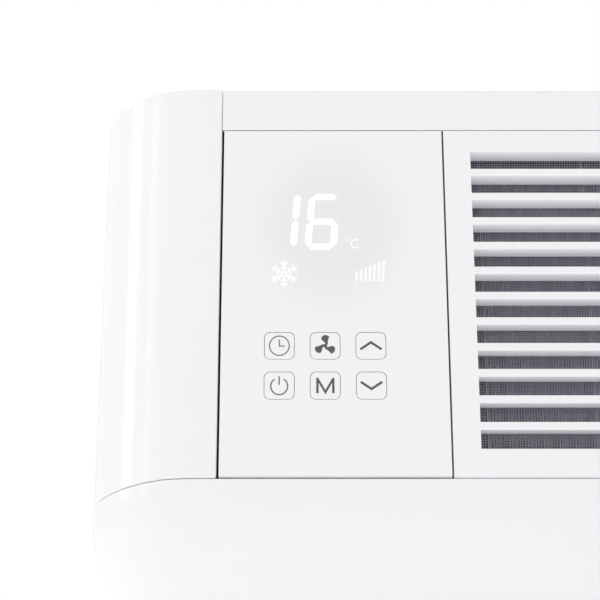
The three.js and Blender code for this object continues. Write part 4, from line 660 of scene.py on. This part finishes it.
def tube_along(work, path, radius, sides):
    """A closed round tube through points that lie in one upright plane across the width."""
    depthwise = Vector((0, 1, 0))
    rings = []
    for i, point in enumerate(path):
        a = Vector(path[max(0, i - 1)])
        b = Vector(path[min(len(path) - 1, i + 1)])
        way = (b - a).normalized()
        across = way.cross(depthwise)
        turns = [2 * math.pi * k / sides for k in range(sides)]
        spokes = [radius * (math.cos(t) * across + math.sin(t) * depthwise) for t in turns]
        rings.append([work.verts.new(Vector(point) + spoke) for spoke in spokes])
    for first, second in zip(rings, rings[1:]):
        for k in range(sides):
            m = (k + 1) % sides
            work.faces.new((first[k], first[m], second[m], second[k]))
    work.faces.new(rings[0])
    work.faces.new(rings[-1][::-1])


def build_coil_seal_shade_strip():
    """Black foam strip that closes the gap above the evaporator, so that air has to pass through the fins;
    it is also a dark piece put there for painted shade in the top grille slot.
    """
    low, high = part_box("evaporator_coil")
    work = bmesh.new()
    add_box(work, (low.x + 2 * MM, low.y + 1 * MM, high.z),
            (high.x - 2 * MM, low.y + 12 * MM, high.z + 5 * MM))
    seal = finish_piece("evaporator_seal_shade_strip", mesh_from("evaporator_seal_shade_strip", work), "evaporator_coil", "rubber")
    add_bevel(seal, 0.8 * MM, 3)


def build_pieces():
    for node, width in EDGES_MM.items():
        bevelled_copy(node, width * MM, 3 if width > 0.5 else 2)
    # The grille's slats take the material with the painted underlight on their undersides.
    bpy.data.objects["intake_grille_skin"].data.materials[0] = MATERIALS["slats_painted_underlight"]
    fascia = bevelled_copy("control_fascia", 0.3 * MM, 2, INSET)
    fascia.data.materials[0] = MATERIALS["display_face"]
    build_key_marks()
    build_display()
    build_filter()
    # The black seal above the evaporator also stands in as painted shade in the top grille slot.
    build_coil_seal_shade_strip()
    build_coil("evaporator_coil", 1.75 * MM, 2, 19 * MM, 3.2 * MM, 0.25 * MM)
    build_coil("condenser_coil", 2.1 * MM, 2, 21 * MM, 4 * MM, 0.16 * MM)
    for name, node in NODES.items():
        if not node.hide_render:
            node.data.materials.clear()
            node.data.materials.append(MATERIALS[SLOT_OF[name]])


build_pieces()


# ---------------------------------------------------------------- floor, light and camera


def area_light(name, place, target, size, power):
    data = bpy.data.lights.new(name, "AREA")
    data.shape = "RECTANGLE"
    data.size, data.size_y = size
    data.energy = power
    light = bpy.data.objects.new(name, data)
    light.location = place
    light.rotation_euler = (Vector(target) - Vector(place)).to_track_quat("-Z", "Y").to_euler()
    bpy.context.scene.collection.objects.link(light)


FLOOR_GLOW = 0.4
LENS = 74.09
CAMERA_TILT = 15.30  # degrees upward
CAMERA_FROM_LEFT = 0.11617
CAMERA_BEFORE_FRONT = 0.6567
CAMERA_BELOW_TOP = 0.3060
LAMP_DISTANCE = 1.3
ROOM_SIDE = 0.93  # the studio is darker behind the camera than behind the object


def soften_front(tree):
    where = tree.nodes.new("ShaderNodeTexCoord")
    split = tree.nodes.new("ShaderNodeSeparateXYZ")
    tree.links.new(where.outputs["Generated"], split.inputs[0])
    strength = remap(tree, split.outputs["Y"], ROOM_SIDE, 1.0, 0.3, 0.7)
    tree.links.new(strength, tree.nodes["Background"].inputs["Strength"])


def build_stage():
    scene = bpy.context.scene
    scene.view_settings.view_transform = "Standard"
    work = bmesh.new()
    bmesh.ops.create_grid(work, x_segments=1, y_segments=1, size=4)
    floor = bpy.data.objects.new("floor", mesh_from("floor", work))
    scene.collection.objects.link(floor)
    material, tree, shader = new_material("floor", (0.8, 0.8, 0.8), 0.8)
    shader.inputs["Emission Color"].default_value = (0.97, 0.965, 1.0, 1)
    shader.inputs["Emission Strength"].default_value = FLOOR_GLOW
    floor.data.materials.append(material)
    world = bpy.data.worlds.new("studio")
    scene.world = world
    world.use_nodes = True
    world.node_tree.nodes["Background"].inputs["Color"].default_value = (1, 1, 1, 1)
    soften_front(world.node_tree)
    corner = Vector((-0.229, FRONT + 0.01, 0.2))
    for name, way, size, power in (
        ("left_strip", (-0.934, -0.2415, 0.2615), (0.32, 0.75), 1.25),
        ("front_strip", (-0.726, -0.633, 0.262), (0.18, 0.75), 0.45),
    ):
        area_light(name, corner + Vector(way) * LAMP_DISTANCE, corner, size, power)
    data = bpy.data.cameras.new("camera")
    data.sensor_width = 36
    data.lens = LENS
    camera = bpy.data.objects.new("camera", data)
    left = CAD_BOX[0].x
    top = CAD_BOX[1].z
    camera.location = (left + CAMERA_FROM_LEFT, FRONT - CAMERA_BEFORE_FRONT, top - CAMERA_BELOW_TOP)
    camera.rotation_euler = (math.radians(90 + CAMERA_TILT), 0, 0)
    scene.collection.objects.link(camera)
    scene.camera = camera


build_stage()
